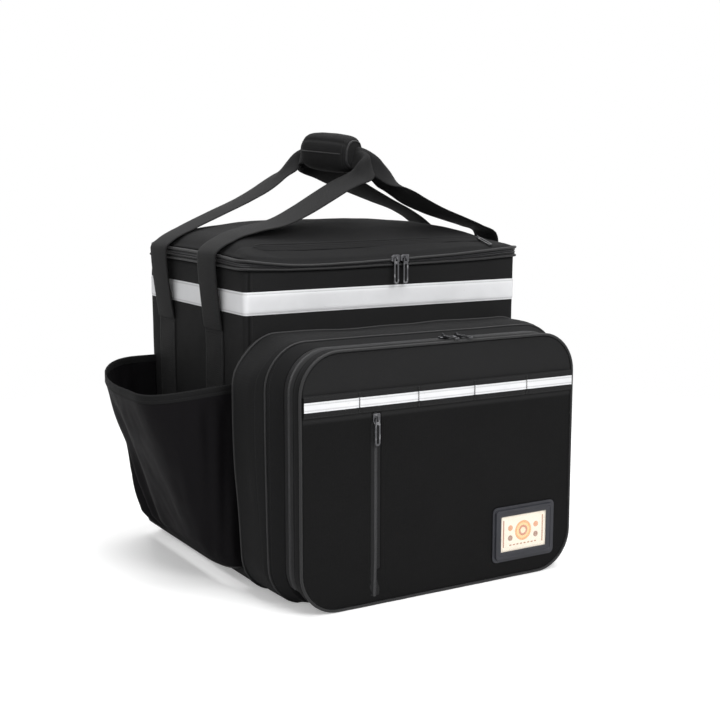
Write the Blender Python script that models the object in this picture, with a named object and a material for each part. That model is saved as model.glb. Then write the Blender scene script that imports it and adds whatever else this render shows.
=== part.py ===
"""Insulated delivery bag, built as its maker would cut and sew it.

Metres, +Z up, and the bag's front faces -Y. While the pieces are built, x = 0 is the middle of the bag, y = 0
is the outside of the box's front wall and z = 0 is the ground. At the end the whole bag is moved, so that the
origin is the middle of its bounding box, on the ground.
"""

import math

import bmesh
import bpy
import numpy as np
from mathutils import Matrix, Vector
from mathutils.geometry import interpolate_bezier

# Stock that several pieces are cut from
CLOTH = 0.0012
FOIL = 0.0007
BOARD = 0.0025
WALL_FOAM = 0.008
FLAP_FOAM = 0.006
GUSSET_FOAM = 0.004
WEBBING = 0.0016
PIPING = 0.003
SEAT_GAP = 0.0003
CUT_OVERRUN = 0.002
CORNER_STEPS = 5

# Main box, with its lower edge rounded under; its height follows from what stands on its front wall
BOX_WIDTH = 0.370
BOX_DEPTH = 0.2775
BOX_CORNER = 0.006
BASE_ROUND = 0.026
BASE_RISE = 0.020
BASE_STEPS = 8
CORE_DROP = 0.006
LINER_CORNER = 0.004

# Reflective band round the box, between the compartment's top and the rim
BAND_GAP = 0.0212
BAND_WIDTH = 0.0256
BAND_THICKNESS = 0.0005
RIM_GAP = 0.0242

# Rim of the box and the zip round the lid, which stand out from the walls
PIPING_OUTSET = 0.0025
CHAIN_OUTSET = 0.0015
TAPE = 0.001
TAPE_RISE = 0.003
COIL_RISE = 0.0018
COIL_THICKNESS = 0.0022
ZIP_END_SETBACK = 0.030

# Lid: its crown is drawn by rings, as shares of the half width, the half depth and the rise
LID_RISE = 0.0325
LID_EDGE_OUTSET = 0.0007
LID_CORE_INSET = 0.004
LID_RING_CORNER = 0.008
CROWN_SIDE_SHARES = (0.0, 0.02, 0.045, 0.07, 0.14, 0.28, 0.46, 0.66)
CROWN_DEPTH_SHARES = (0.0, 0.09, 0.19, 0.28, 0.42, 0.58, 0.76, 0.92)
CROWN_RISE_SHARES = (0.0, 0.12, 0.235, 0.345, 0.53, 0.73, 0.90, 1.0)
LID_ZIP_STEPS = 2
LID_ZIP_HALF_LENGTH = 0.158
LID_ZIP_WIDTH = 0.008

# Front compartment, behind its flap
GUSSET_SHOULDER = 0.014
GUSSET_SEAM = 0.062
GUSSET_FRONT = 0.0834
GUSSET_FULL_WIDTH = 0.394
GUSSET_FULL_HEIGHT = 0.2890
GUSSET_ROOT_TAPER = 0.020
GUSSET_ROOT_DROP = 0.003
GUSSET_ROOT_CORNER = 0.030
COMPARTMENT_TAPE = 0.0092
ZIP_CORNER_SHARE = 0.4

# Flap
FLAP_WIDTH = 0.3601
FLAP_TOP_DROP = 0.0064
FLAP_SKIRT = 0.016
FLAP_CORNER = 0.046
FLAP_LIFT = 0.0016
FLAP_CHAMFER = 0.003
FLAP_AXIS_Z = 0.0055
FOLD_STRIP_HALF = 0.125

# Pocket zip in the flap
POCKET_ZIP_X = -0.0886
POCKET_ZIP_FOOT = 0.010
POCKET_ZIP_DROP = 0.0007
POCKET_ZIP_WIDTH = 0.0124
CHAIN_WIDTH = 0.0044
CHAIN_RISE = 0.0006

# Webbing and reflective tape across the flap
FRONT_WEBBING_DROP = 0.0681
FRONT_WEBBING_WIDTH = 0.024
FRONT_WEBBING_INSET = 0.005
FRONT_TAPE_WIDTH = 0.0105
FRONT_TAPE_THICKNESS = 0.0004

# Card holder on the flap: a moulded frame with a stepped face, heights counted from the flap
CARD_X = 0.1118
CARD_Z = 0.0533
CARD_FRAME_WIDTH = 0.0885
CARD_FRAME_HEIGHT = 0.0650
CARD_FRAME_CORNER = 0.006
CARD_BORDER = 0.0116
CARD_REBATE = 0.003
CARD_FLANGE_WIDTH = 0.003
CARD_FLANGE = 0.0012
CARD_RIDGE_WIDTH = 0.0022
CARD_RIDGE = 0.0034
CARD_STEP_SLOPE = 0.0006
CARD_FACE = 0.0026
CARD_LIP_WIDTH = 0.0018
CARD_LIP = 0.0008
CARD_THICKNESS = 0.0004
PANE_THICKNESS = 0.0005

# Cup pockets, as shares of their height and of their reach at the mouth
POCKET_STANDOFF = 0.0028
POCKET_FRONT = 0.010
POCKET_REAR = 0.268
POCKET_REACH = 0.104
POCKET_FOOT_RISE = 0.002
POCKET_TOP_DROP = 0.1345
POCKET_CORNER = 0.052
POCKET_REAR_CORNER = 0.160
POCKET_CORNER_SHARE = 0.8
POCKET_HEIGHT_SHARES = (0.0, 0.06, 0.15, 0.35, 0.65, 1.0)
POCKET_REACH_SHARES = (0.12, 0.26, 0.42, 0.56, 0.76, 1.0)
HEM_HEIGHT = 0.009
HEM_THICKNESS = 0.0024

# Handles
STRAP_WIDTH = 0.050
STRAP_FOOT_RISE = 0.004
STRAP_PIVOT_DROP = 0.072
FRONT_LEG_Y = 0.081
REAR_LEG_Y = 0.2225
LEG_STANDOFF = 0.0022
LEG_STRAIGHT_DROP = 0.012
RIM_STANDOFF = 0.0068
RIM_CLEAR_RISE = 0.006
BEND_START_RISE = 0.016
BEND_RISE = 0.018
GRIP_APPROACH = 0.040
STRAP_STEPS = 11
FOLD_START_SHARE = 0.75
FOLDED_WIDTH = 0.014
FOLDED_THICKNESS = 0.0044
FOLDED_X = 0.0078

# Grip wrap round both handles
GRIP_LENGTH = 0.084
GRIP_Y = 0.1362
GRIP_RISE = 0.1345
GRIP_WIDTH = 0.041
GRIP_HEIGHT = 0.0405
GRIP_CORNER = 0.012
GRIP_END_ROUND = 0.004
GRIP_SLOT_DROP = 0.0075
GRIP_ENTRY = 0.006

# Zip sliders and their pulls; a slider's outline is drawn in shares of its length and width
SLIDER_LENGTH = 0.0115
SLIDER_WIDTH = 0.009
SLIDER_PLATE = 0.0014
SLIDER_BEVEL = 0.0004
SLIDER_TOP_SHARE = 0.9
SLIDER_NECK_SHARE = 0.66
SLIDER_OUTLINE_SHARES = (
    (-0.5, -0.31),
    (-0.2, -0.5),
    (0.4, -0.5),
    (0.5, -0.4),
    (0.5, 0.4),
    (0.4, 0.5),
    (-0.2, 0.5),
    (-0.5, 0.31),
)
BRIDGE_WIRE = 0.0011
BRIDGE_RADIUS = 0.0021
BRIDGE_STEPS = 6
WIRE_SIDES = 8
PULL_LENGTH = 0.0300
PULL_WIDTH = 0.0066
PULL_EYE_WIDTH = 0.0052
PULL_THICKNESS = 0.0013
PULL_BAR = 0.0012
PULL_CLEARANCE = 0.0004
PULL_WINDOW_WIDTH = 0.0026
PULL_CROSSBAR = 0.0032
PULL_SLOT_WIDTH = 0.0027
PULL_RIM = 0.0021
PULL_SHOULDER_SHARE = 0.3
PULL_ROUND_STEPS = 6

LID_SLIDER_X = 0.0136
LID_SLIDER_SPACING = 0.0128
COMPARTMENT_SLIDER_X = 0.0235
COMPARTMENT_SLIDER_SPACING = 0.0180
LID_POCKET_SLIDER_X = 0.150
POCKET_SLIDER_DROP = 0.007

# Places that follow from the sizes above
HALF_WIDTH = BOX_WIDTH / 2
HALF_DEPTH = BOX_DEPTH / 2
FLAP_TOP_Z = GUSSET_FULL_HEIGHT - FLAP_TOP_DROP
FLAP_HEIGHT = FLAP_TOP_Z - FLAP_LIFT
FLAP_MIDDLE_Z = FLAP_LIFT + FLAP_HEIGHT / 2
FRONT_WEBBING_FOOT = FLAP_TOP_Z - FRONT_WEBBING_DROP
POCKET_ZIP_TOP = FRONT_WEBBING_FOOT - POCKET_ZIP_DROP
BAND_FOOT = GUSSET_FULL_HEIGHT + BAND_GAP
WALL_TOP = BAND_FOOT + BAND_WIDTH + RIM_GAP
POCKET_FOOT = BASE_RISE + POCKET_FOOT_RISE
POCKET_TOP = WALL_TOP - POCKET_TOP_DROP
STRAP_PIVOT_Z = WALL_TOP - STRAP_PIVOT_DROP
GRIP_Z = WALL_TOP + GRIP_RISE
CORE_TOP = WALL_TOP - CORE_DROP
RIM_PIPING_Z = WALL_TOP + SEAT_GAP + PIPING / 2
RIM_TAPE_FOOT = RIM_PIPING_Z + PIPING / 2 + SEAT_GAP
CHAIN_Z = RIM_TAPE_FOOT + TAPE_RISE + SEAT_GAP / 2
LID_PIPING_Z = 2 * CHAIN_Z - RIM_PIPING_Z
LID_TAPE_HEAD = 2 * CHAIN_Z - RIM_TAPE_FOOT
LID_EDGE_Z = LID_PIPING_Z + CLOTH / 2
HINGE_Y = BOX_DEPTH + PIPING_OUTSET
CHAIN_Y = -(GUSSET_FRONT + SEAT_GAP + COMPARTMENT_TAPE + SEAT_GAP / 2)
FLAP_REAR_Y = 2 * CHAIN_Y + GUSSET_FRONT
FACE_Y = FLAP_REAR_Y - FLAP_SKIRT
FLAP_CORE_INSET = FLAP_CHAMFER + CLOTH + SEAT_GAP
STRAP_X = HALF_WIDTH + LEG_STANDOFF
STRAP_TOP_Z = GRIP_Z - GRIP_SLOT_DROP
PIVOT_RISE = PULL_THICKNESS / 2 + PULL_CLEARANCE

BLACK_CLOTH = ("black_oxford", (0.018, 0.018, 0.020), 0.78, 0.0)
THIN_CLOTH = ("pocket_cloth", (0.020, 0.019, 0.021), 0.62, 0.0)
BLACK_WEBBING = ("black_webbing", (0.016, 0.016, 0.017), 0.85, 0.0)
BLACK_PIPING = ("black_piping", (0.022, 0.022, 0.024), 0.55, 0.0)
ZIP_TAPE = ("zip_tape", (0.014, 0.014, 0.015), 0.70, 0.0)
SILVER_TAPE = ("reflective_tape", (0.62, 0.63, 0.65), 0.38, 0.2)
WHITE_FOAM = ("insulating_foam", (0.80, 0.80, 0.78), 0.90, 0.0)
FOIL_CLOTH = ("foil_lining", (0.72, 0.73, 0.75), 0.28, 0.9)
STIFF_BOARD = ("base_board", (0.05, 0.05, 0.05), 0.60, 0.0)
DARK_METAL = ("zip_metal", (0.10, 0.10, 0.11), 0.35, 1.0)
MOULDED_RUBBER = ("moulded_frame", (0.022, 0.023, 0.028), 0.50, 0.0)
PRINTED_CARD = ("printed_card", (0.80, 0.66, 0.48), 0.60, 0.0)
CLEAR_SHEET = ("clear_window", (0.90, 0.90, 0.90), 0.08, 0.0)

SIDES = (("left", -1), ("right", 1))

bodies = {}


# Helpers


def clear_scene():
    """Remove every object of the scene that the file opened with."""
    for item in list(bpy.data.objects):
        bpy.data.objects.remove(item, do_unlink=True)


def finish_material(finish):
    """The Principled material of one finish, made once."""
    name, colour, roughness, metallic = finish
    found = bpy.data.materials.get(name)
    if found:
        return found
    made = bpy.data.materials.new(name)
    made.use_nodes = True
    shader = made.node_tree.nodes["Principled BSDF"]
    shader.inputs["Base Color"].default_value = (*colour, 1.0)
    shader.inputs["Roughness"].default_value = roughness
    shader.inputs["Metallic"].default_value = metallic
    return made


def add_body(name, parent, place):
    """An empty that carries the pieces of one body, on the axis of the body's joint."""
    pivot = bpy.data.objects.new(name + "_axis", None)
    bpy.context.scene.collection.objects.link(pivot)
    start = Vector()
    if parent:
        pivot.parent, start = bodies[parent]
    pivot.location = Vector(place) - start
    bodies[name] = (pivot, Vector(place))


def put(name, data, body, finish):
    """Make a named object of a body from a mesh or curve that is drawn in the bag's own frame."""
    item = bpy.data.objects.new(name, data)
    bpy.context.scene.collection.objects.link(item)
    pivot, place = bodies[body]
    data.transform(Matrix.Translation(-place))
    item.parent = pivot
    data.materials.append(finish_material(finish))
    return item


def lofted(name, rings, body, finish, closed=False):
    """A solid through rings of equal length, with flat ends, or closed round on itself."""
    shape = bmesh.new()
    rows = [[shape.verts.new(point) for point in ring] for ring in rings]
    pairs = list(zip(rows, rows[1:]))
    if closed:
        pairs.append((rows[-1], rows[0]))
    else:
        shape.faces.new(rows[0])
        shape.faces.new(rows[-1])
    for lower, upper in pairs:
        for here in range(len(lower)):
            after = (here + 1) % len(lower)
            shape.faces.new((lower[here], lower[after], upper[after], upper[here]))
    bmesh.ops.recalc_face_normals(shape, faces=shape.faces)
    data = bpy.data.meshes.new(name)
    shape.to_mesh(data)
    shape.free()
    data.shade_smooth()
    data.set_sharp_from_angle(angle=math.radians(40))
    return put(name, data, body, finish)


def slab(name, low, high, body, finish):
    """A flat board or strip between two opposite corners."""
    outline = ((low[0], low[1]), (high[0], low[1]), (high[0], high[1]), (low[0], high[1]))
    rings = [[(x, y, z) for x, y in outline] for z in (low[2], high[2])]
    return lofted(name, rings, body, finish)


def combine(item, helper, operation):
    """Cut a helper out of an object, or join it on, and keep the helper as a hidden guide."""
    helper.hide_render = True
    helper.display_type = "WIRE"
    tool = item.modifiers.new(operation.lower(), "BOOLEAN")
    tool.operation = operation
    tool.solver = "EXACT"
    tool.object = helper


def rounded_loop(width, height, radius):
    """Points of a rounded rectangle round zero, anticlockwise from the foot of its right top corner."""
    points = []
    for quarter, (side, end) in enumerate(((1, 1), (-1, 1), (-1, -1), (1, -1))):
        centre = Vector((side * (width / 2 - radius), end * (height / 2 - radius)))
        for step in range(CORNER_STEPS + 1):
            angle = (quarter + step / CORNER_STEPS) * math.pi / 2
            points.append(centre + radius * Vector((math.cos(angle), math.sin(angle))))
    return points


def plan_loop(side_inset, end_inset, z, radius):
    """A rounded outline in plan, inset from the box's sides and from its front and back."""
    outline = rounded_loop(BOX_WIDTH - 2 * side_inset, BOX_DEPTH - 2 * end_inset, radius)
    return [(p.x, p.y + HALF_DEPTH, z) for p in outline]


def wall_loop(inset, z):
    """The box's own outline in plan, inset alike all round."""
    return plan_loop(inset, inset, z, max(BOX_CORNER - inset, LINER_CORNER))


def standing_loop(width, height, radius, foot, y):
    """A rounded rectangle that stands upright and faces the front."""
    return [(p.x, y, p.y + foot + height / 2) for p in rounded_loop(width, height, radius)]


def outward_normals(route):
    """Unit normals on the right hand side of an open flat route."""
    normals = []
    for here in range(len(route)):
        run = route[min(here + 1, len(route) - 1)] - route[max(here - 1, 0)]
        run.normalize()
        normals.append(Vector((run.y, -run.x)))
    return normals


def cord(name, points, body, finish):
    """A round cord, closed on itself, along a loop of points."""
    route = bpy.data.curves.new(name, "CURVE")
    route.dimensions = "3D"
    route.bevel_depth = PIPING / 2
    route.bevel_resolution = 2
    spline = route.splines.new("POLY")
    spline.points.add(len(points) - 1)
    for place, point in zip(spline.points, points):
        place.co = (*point, 1.0)
    spline.use_cyclic_u = True
    return put(name, route, body, finish)


def half_zip_profile(length, foot, direction):
    """Half of a zip in section: a tape that runs from its foot to a thicker coil at its edge."""
    turn = length - COIL_RISE
    thin = TAPE / 2
    thick = COIL_THICKNESS / 2
    outline = [
        (0.0, -thin),
        (turn, -thin),
        (turn, -thick),
        (length, -thick),
        (length, thick),
        (turn, thick),
        (turn, thin),
        (0.0, thin),
    ]
    return [(foot + direction * run, offset) for run, offset in outline]


def frame_at(place, out):
    """A frame whose x runs along the bag's width and whose z points out of a surface."""
    across = Vector(out).cross(Vector((1, 0, 0)))
    turned = Matrix(((1, 0, 0), across, out)).transposed().to_4x4()
    return Matrix.Translation(place) @ turned


# Main box


def base_inset(z, depth):
    """How far a layer's edge is drawn in at a height on the rounded foot, at a depth inside the cloth."""
    cosine = (BASE_RISE - z) / (BASE_RISE - depth)
    return BASE_ROUND - (BASE_ROUND - depth) * math.sqrt(1 - cosine * cosine)


def base_rings(depth):
    """Rings of the rounded foot, from the flat bottom up to the wall, at a depth inside the cloth."""
    rings = []
    for step in range(BASE_STEPS + 1):
        z = BASE_RISE - (BASE_RISE - depth) * math.cos(math.pi / 2 * step / BASE_STEPS)
        rings.append(wall_loop(base_inset(z, depth), z))
    return rings


def build_shell():
    """Outer cloth of the box, rounded under at its foot and open at the top."""
    outer = base_rings(0.0) + [wall_loop(0.0, WALL_TOP)]
    inner = base_rings(CLOTH) + [wall_loop(CLOTH, WALL_TOP)]
    inner.reverse()
    lofted("body_shell", outer + inner, "bag", BLACK_CLOTH)


def build_base():
    """Stiff board and foam on the floor of the box; returns the height of the foam's top."""
    depth = CLOTH + SEAT_GAP
    board_foot = depth
    foam_foot = board_foot + BOARD + SEAT_GAP
    foam_top = foam_foot + WALL_FOAM
    board = [wall_loop(BASE_ROUND, board_foot), wall_loop(BASE_ROUND, board_foot + BOARD)]
    foam = [wall_loop(base_inset(z, depth), z) for z in (foam_foot, foam_top)]
    lofted("base_board", board, "bag", STIFF_BOARD)
    lofted("base_foam", foam, "bag", WHITE_FOAM)
    return foam_top


def build_wall_foams():
    """Four foam boards that stand inside the cloth, above its rounded foot."""
    near = CLOTH + SEAT_GAP
    far = near + WALL_FOAM
    setback = max(BOX_CORNER, far + SEAT_GAP) + SEAT_GAP
    foot = BASE_RISE
    for name, side in SIDES:
        low_x, high_x = sorted((side * (HALF_WIDTH - near), side * (HALF_WIDTH - far)))
        low = (low_x, setback, foot)
        high = (high_x, BOX_DEPTH - setback, CORE_TOP)
        slab(name + "_foam", low, high, "bag", WHITE_FOAM)
    for name, low_y, high_y in (("front_foam", near, far), ("back_foam", BOX_DEPTH - far, BOX_DEPTH - near)):
        low = (setback - HALF_WIDTH, low_y, foot)
        high = (HALF_WIDTH - setback, high_y, CORE_TOP)
        slab(name, low, high, "bag", WHITE_FOAM)


def build_liner(floor_z):
    """Foil bag inside the foam, open at the top."""
    outer = CLOTH + WALL_FOAM + 2 * SEAT_GAP
    inner = outer + FOIL
    foot = floor_z + SEAT_GAP
    rings = [
        wall_loop(outer, foot),
        wall_loop(outer, CORE_TOP),
        wall_loop(inner, CORE_TOP),
        wall_loop(inner, foot + FOIL),
    ]
    lofted("foil_liner", rings, "bag", FOIL_CLOTH)


def build_band():
    """Reflective tape sewn round the upper walls."""
    inner = -SEAT_GAP
    outer = inner - BAND_THICKNESS
    top = BAND_FOOT + BAND_WIDTH
    rings = [
        wall_loop(outer, BAND_FOOT),
        wall_loop(outer, top),
        wall_loop(inner, top),
        wall_loop(inner, BAND_FOOT),
    ]
    lofted("reflective_band", rings, "bag", SILVER_TAPE, closed=True)


# Rim and lid


def lid_zip_tape(name, foot, direction, body):
    """Half of the lid's zip: up one side of the box, across its front and back along the other side."""
    rear = BOX_DEPTH - ZIP_END_SETBACK
    side = HALF_WIDTH + CHAIN_OUTSET
    front = [Vector((x, y)) for x, y, _ in wall_loop(-CHAIN_OUTSET, 0.0) if y < HALF_DEPTH]
    route = [Vector((-side, rear)), *front, Vector((side, rear))]
    profile = half_zip_profile(TAPE_RISE, foot, direction)
    rings = []
    for point, normal in zip(route, outward_normals(route)):
        rings.append([(*(point + offset * normal), z) for z, offset in profile])
    lofted(name, rings, body, ZIP_TAPE)


def build_rim():
    """Piping, zip tape and hinge strip of the box's rim."""
    cord("rim_piping", wall_loop(-PIPING_OUTSET, RIM_PIPING_Z), "bag", BLACK_PIPING)
    lid_zip_tape("rim_zip_tape", RIM_TAPE_FOOT, 1, "bag")
    half = HALF_WIDTH - ZIP_END_SETBACK
    low = (-half, HINGE_Y - TAPE / 2, RIM_TAPE_FOOT)
    high = (half, HINGE_Y + TAPE / 2, LID_TAPE_HEAD)
    slab("lid_hinge_strip", low, high, "bag", BLACK_CLOTH)


def crown_rings(least_inset, drop):
    """Rings of the lid's crown, from its edge to its middle, lowered by a distance."""
    rings = []
    corner = BOX_CORNER - least_inset
    for side, depth, rise in zip(CROWN_SIDE_SHARES, CROWN_DEPTH_SHARES, CROWN_RISE_SHARES):
        side_inset = max(side * HALF_WIDTH, least_inset) if side else least_inset
        end_inset = max(depth * HALF_DEPTH, least_inset) if depth else least_inset
        rings.append(plan_loop(side_inset, end_inset, LID_EDGE_Z + rise * LID_RISE - drop, corner))
        corner = LID_RING_CORNER
    return rings


def crowned_sheet(name, inset, drop, thickness, finish):
    """A layer of the lid, of one thickness, that follows the crown."""
    under = crown_rings(inset, drop + thickness)
    under.reverse()
    lofted(name, under + crown_rings(inset, drop), "lid", finish)


def build_lid():
    """Cloth, foam and foil of the lid, its piping and its half of the zip."""
    foam_drop = CLOTH + SEAT_GAP
    foil_drop = foam_drop + WALL_FOAM + SEAT_GAP
    crowned_sheet("lid_panel", -LID_EDGE_OUTSET, 0.0, CLOTH, BLACK_CLOTH)
    crowned_sheet("lid_foam", LID_CORE_INSET, foam_drop, WALL_FOAM, WHITE_FOAM)
    crowned_sheet("lid_liner", LID_CORE_INSET, foil_drop, FOIL, FOIL_CLOTH)
    cord("lid_piping", wall_loop(-PIPING_OUTSET, LID_PIPING_Z), "lid", BLACK_PIPING)
    lid_zip_tape("lid_zip_tape", LID_TAPE_HEAD, -1, "lid")


def lid_front_slope():
    """The middle of the straight slope at the front of the lid, and the direction out of it."""
    depths = [share * HALF_DEPTH for share in CROWN_DEPTH_SHARES[LID_ZIP_STEPS : LID_ZIP_STEPS + 2]]
    rises = [share * LID_RISE for share in CROWN_RISE_SHARES[LID_ZIP_STEPS : LID_ZIP_STEPS + 2]]
    run = depths[1] - depths[0]
    climb = rises[1] - rises[0]
    middle = Vector((0, sum(depths) / 2, LID_EDGE_Z + sum(rises) / 2))
    return middle, Vector((0, -climb, run)).normalized()


def zip_strip(name, place, length, width, body):
    """A closed zip along the x of a frame: two tapes and, between them, the raised chain."""
    side = width / 2
    chain = CHAIN_WIDTH / 2
    top = TAPE + CHAIN_RISE
    outline = [
        (-side, 0.0),
        (side, 0.0),
        (side, TAPE),
        (chain, TAPE),
        (chain / 2, top),
        (-chain / 2, top),
        (-chain, TAPE),
        (-side, TAPE),
    ]
    rings = [[place @ Vector((x, y, z)) for y, z in outline] for x in (-length / 2, length / 2)]
    lofted(name, rings, body, ZIP_TAPE)


def build_lid_pocket_zip():
    """The zip of the flat pocket, across the front of the lid."""
    middle, out = lid_front_slope()
    place = frame_at(middle + SEAT_GAP * out, out)
    zip_strip("lid_pocket_zip", place, 2 * LID_ZIP_HALF_LENGTH, LID_ZIP_WIDTH, "lid")


# Front compartment


def gusset_loop(depth, inset):
    """The compartment's outline at a depth in front of the box, inset by a distance."""
    stops = (SEAT_GAP, GUSSET_SHOULDER, GUSSET_SEAM, GUSSET_FRONT)
    root_width = GUSSET_FULL_WIDTH - GUSSET_ROOT_TAPER
    root_height = GUSSET_FULL_HEIGHT - GUSSET_ROOT_DROP
    widths = (root_width, GUSSET_FULL_WIDTH, GUSSET_FULL_WIDTH, FLAP_WIDTH)
    heights = (root_height, GUSSET_FULL_HEIGHT, GUSSET_FULL_HEIGHT, FLAP_TOP_Z)
    corners = (GUSSET_ROOT_CORNER, FLAP_CORNER, FLAP_CORNER, FLAP_CORNER)
    width, height, corner = [float(np.interp(depth, stops, sizes)) for sizes in (widths, heights, corners)]
    return standing_loop(width - 2 * inset, height - 2 * inset, corner - inset, inset, -depth)


def gusset_band(name, depths, inset, thickness, finish):
    """A layer of the compartment's wall, open at the front and at the back."""
    outer = [gusset_loop(depth, inset) for depth in depths]
    inner = [gusset_loop(depth, inset + thickness) for depth in reversed(depths)]
    lofted(name, outer + inner, "bag", finish, closed=True)


def build_gusset():
    """Cloth walls in two bands that meet at the seam, then foam, then foil with a back."""
    gusset_band("gusset_rear", (SEAT_GAP, GUSSET_SHOULDER, GUSSET_SEAM), 0.0, CLOTH, BLACK_CLOTH)
    gusset_band("gusset_front", (GUSSET_SEAM + SEAT_GAP, GUSSET_FRONT), 0.0, CLOTH, BLACK_CLOTH)
    depths = (2 * SEAT_GAP, GUSSET_SHOULDER, GUSSET_SEAM, GUSSET_FRONT)
    foam_inset = CLOTH + SEAT_GAP
    gusset_band("compartment_foam", depths, foam_inset, GUSSET_FOAM, WHITE_FOAM)
    outer_inset = foam_inset + GUSSET_FOAM + SEAT_GAP
    inner_depths = (depths[0] + FOIL, *depths[1:])
    outer = [gusset_loop(depth, outer_inset) for depth in depths]
    inner = [gusset_loop(depth, outer_inset + FOIL) for depth in reversed(inner_depths)]
    lofted("compartment_liner", outer + inner, "bag", FOIL_CLOTH)


def compartment_tape(name, foot, direction, body):
    """Half of the compartment's zip: from one bottom corner up, over the top and down to the other."""
    outline = rounded_loop(FLAP_WIDTH - TAPE, FLAP_HEIGHT - TAPE, FLAP_CORNER - TAPE / 2)
    corner = CORNER_STEPS + 1
    skipped = round(ZIP_CORNER_SHARE * CORNER_STEPS)
    route = outline[3 * corner + skipped :] + outline[: 3 * corner - skipped]
    profile = half_zip_profile(COMPARTMENT_TAPE, foot, direction)
    rings = []
    for point, normal in zip(route, outward_normals(route)):
        places = [(point + offset * normal, y) for y, offset in profile]
        rings.append([(place.x, y, place.y + FLAP_MIDDLE_Z) for place, y in places])
    lofted(name, rings, body, ZIP_TAPE)


def build_compartment_zip():
    """Both halves of the compartment's zip, and the cloth on the ground where the flap folds."""
    compartment_tape("compartment_zip_tape", -(GUSSET_FRONT + SEAT_GAP), -1, "bag")
    compartment_tape("flap_zip_tape", FLAP_REAR_Y + SEAT_GAP, 1, "flap")
    swing = math.hypot(FLAP_SKIRT, FLAP_AXIS_Z - FLAP_LIFT)
    low = (-FOLD_STRIP_HALF, FACE_Y + swing + SEAT_GAP, 0.0)
    high = (FOLD_STRIP_HALF, -(GUSSET_FRONT + SEAT_GAP), CLOTH)
    slab("flap_fold_strip", low, high, "bag", BLACK_CLOTH)


# Flap


def flap_loop(y, inset):
    """The flap's outline at a depth, inset by a distance."""
    width = FLAP_WIDTH - 2 * inset
    height = FLAP_HEIGHT - 2 * inset
    return standing_loop(width, height, FLAP_CORNER - inset, FLAP_LIFT + inset, y)


def build_flap_panel():
    """The flap's cloth: a shallow tray with a chamfered edge and the slot of the pocket's zip."""
    rings = [
        flap_loop(FACE_Y, FLAP_CHAMFER),
        flap_loop(FACE_Y + FLAP_CHAMFER, 0.0),
        flap_loop(FLAP_REAR_Y, 0.0),
        flap_loop(FLAP_REAR_Y, CLOTH),
        flap_loop(FACE_Y + FLAP_CHAMFER + CLOTH, CLOTH),
        flap_loop(FACE_Y + CLOTH, FLAP_CHAMFER + CLOTH),
    ]
    panel = lofted("flap_panel", rings, "flap", BLACK_CLOTH)
    half = POCKET_ZIP_WIDTH / 2 + SEAT_GAP
    low = (POCKET_ZIP_X - half, FACE_Y - CUT_OVERRUN, POCKET_ZIP_FOOT - SEAT_GAP)
    high = (POCKET_ZIP_X + half, FACE_Y + CUT_OVERRUN, POCKET_ZIP_TOP + SEAT_GAP)
    combine(panel, slab("zip_slot_cutter", low, high, "flap", BLACK_CLOTH), "DIFFERENCE")


def build_flap_layers():
    """Pocket lining, foam and foil behind the flap's face, and the piping round its edge."""
    rear = FACE_Y + CLOTH
    layers = (
        ("flap_pocket_lining", FOIL, THIN_CLOTH),
        ("flap_foam", FLAP_FOAM, WHITE_FOAM),
        ("flap_liner", FOIL, FOIL_CLOTH),
    )
    for name, thickness, finish in layers:
        front = rear + SEAT_GAP
        rear = front + thickness
        lofted(name, [flap_loop(front, FLAP_CORE_INSET), flap_loop(rear, FLAP_CORE_INSET)], "flap", finish)
    outward = (PIPING / 2 + SEAT_GAP) * math.cos(math.radians(45))
    inset = FLAP_CHAMFER / 2 - outward
    cord("flap_piping", flap_loop(FACE_Y + inset, inset), "flap", BLACK_PIPING)


def build_pocket_zip():
    """The upright zip of the flap's flat pocket, seated in its slot."""
    length = POCKET_ZIP_TOP - POCKET_ZIP_FOOT
    middle = Vector((POCKET_ZIP_X, FACE_Y + CLOTH, (POCKET_ZIP_TOP + POCKET_ZIP_FOOT) / 2))
    upright = frame_at(middle, (0, -1, 0)) @ Matrix.Rotation(math.pi / 2, 4, "Z")
    zip_strip("pocket_zip", upright, length, POCKET_ZIP_WIDTH, "flap")


def build_front_webbing():
    """Webbing across the flap, with a reflective tape along its middle."""
    half = FLAP_WIDTH / 2 - FRONT_WEBBING_INSET
    back = FACE_Y - SEAT_GAP
    front = back - WEBBING
    low = (-half, front, FRONT_WEBBING_FOOT)
    high = (half, back, FRONT_WEBBING_FOOT + FRONT_WEBBING_WIDTH)
    slab("front_webbing", low, high, "flap", BLACK_WEBBING)
    tape_foot = FRONT_WEBBING_FOOT + (FRONT_WEBBING_WIDTH - FRONT_TAPE_WIDTH) / 2
    low = (-half, front - SEAT_GAP - FRONT_TAPE_THICKNESS, tape_foot)
    high = (half, front - SEAT_GAP, tape_foot + FRONT_TAPE_WIDTH)
    slab("front_reflective_tape", low, high, "flap", SILVER_TAPE)


def card_loop(inset, height):
    """An outline of the card holder, inset from its edge, at a height above the flap."""
    width = CARD_FRAME_WIDTH - 2 * inset
    tall = CARD_FRAME_HEIGHT - 2 * inset
    corner = max(CARD_FRAME_CORNER - inset / 2, CARD_THICKNESS)
    outline = standing_loop(width, tall, corner, CARD_Z - tall / 2, FACE_Y - SEAT_GAP - height)
    return [(x + CARD_X, y, z) for x, y, z in outline]


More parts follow.
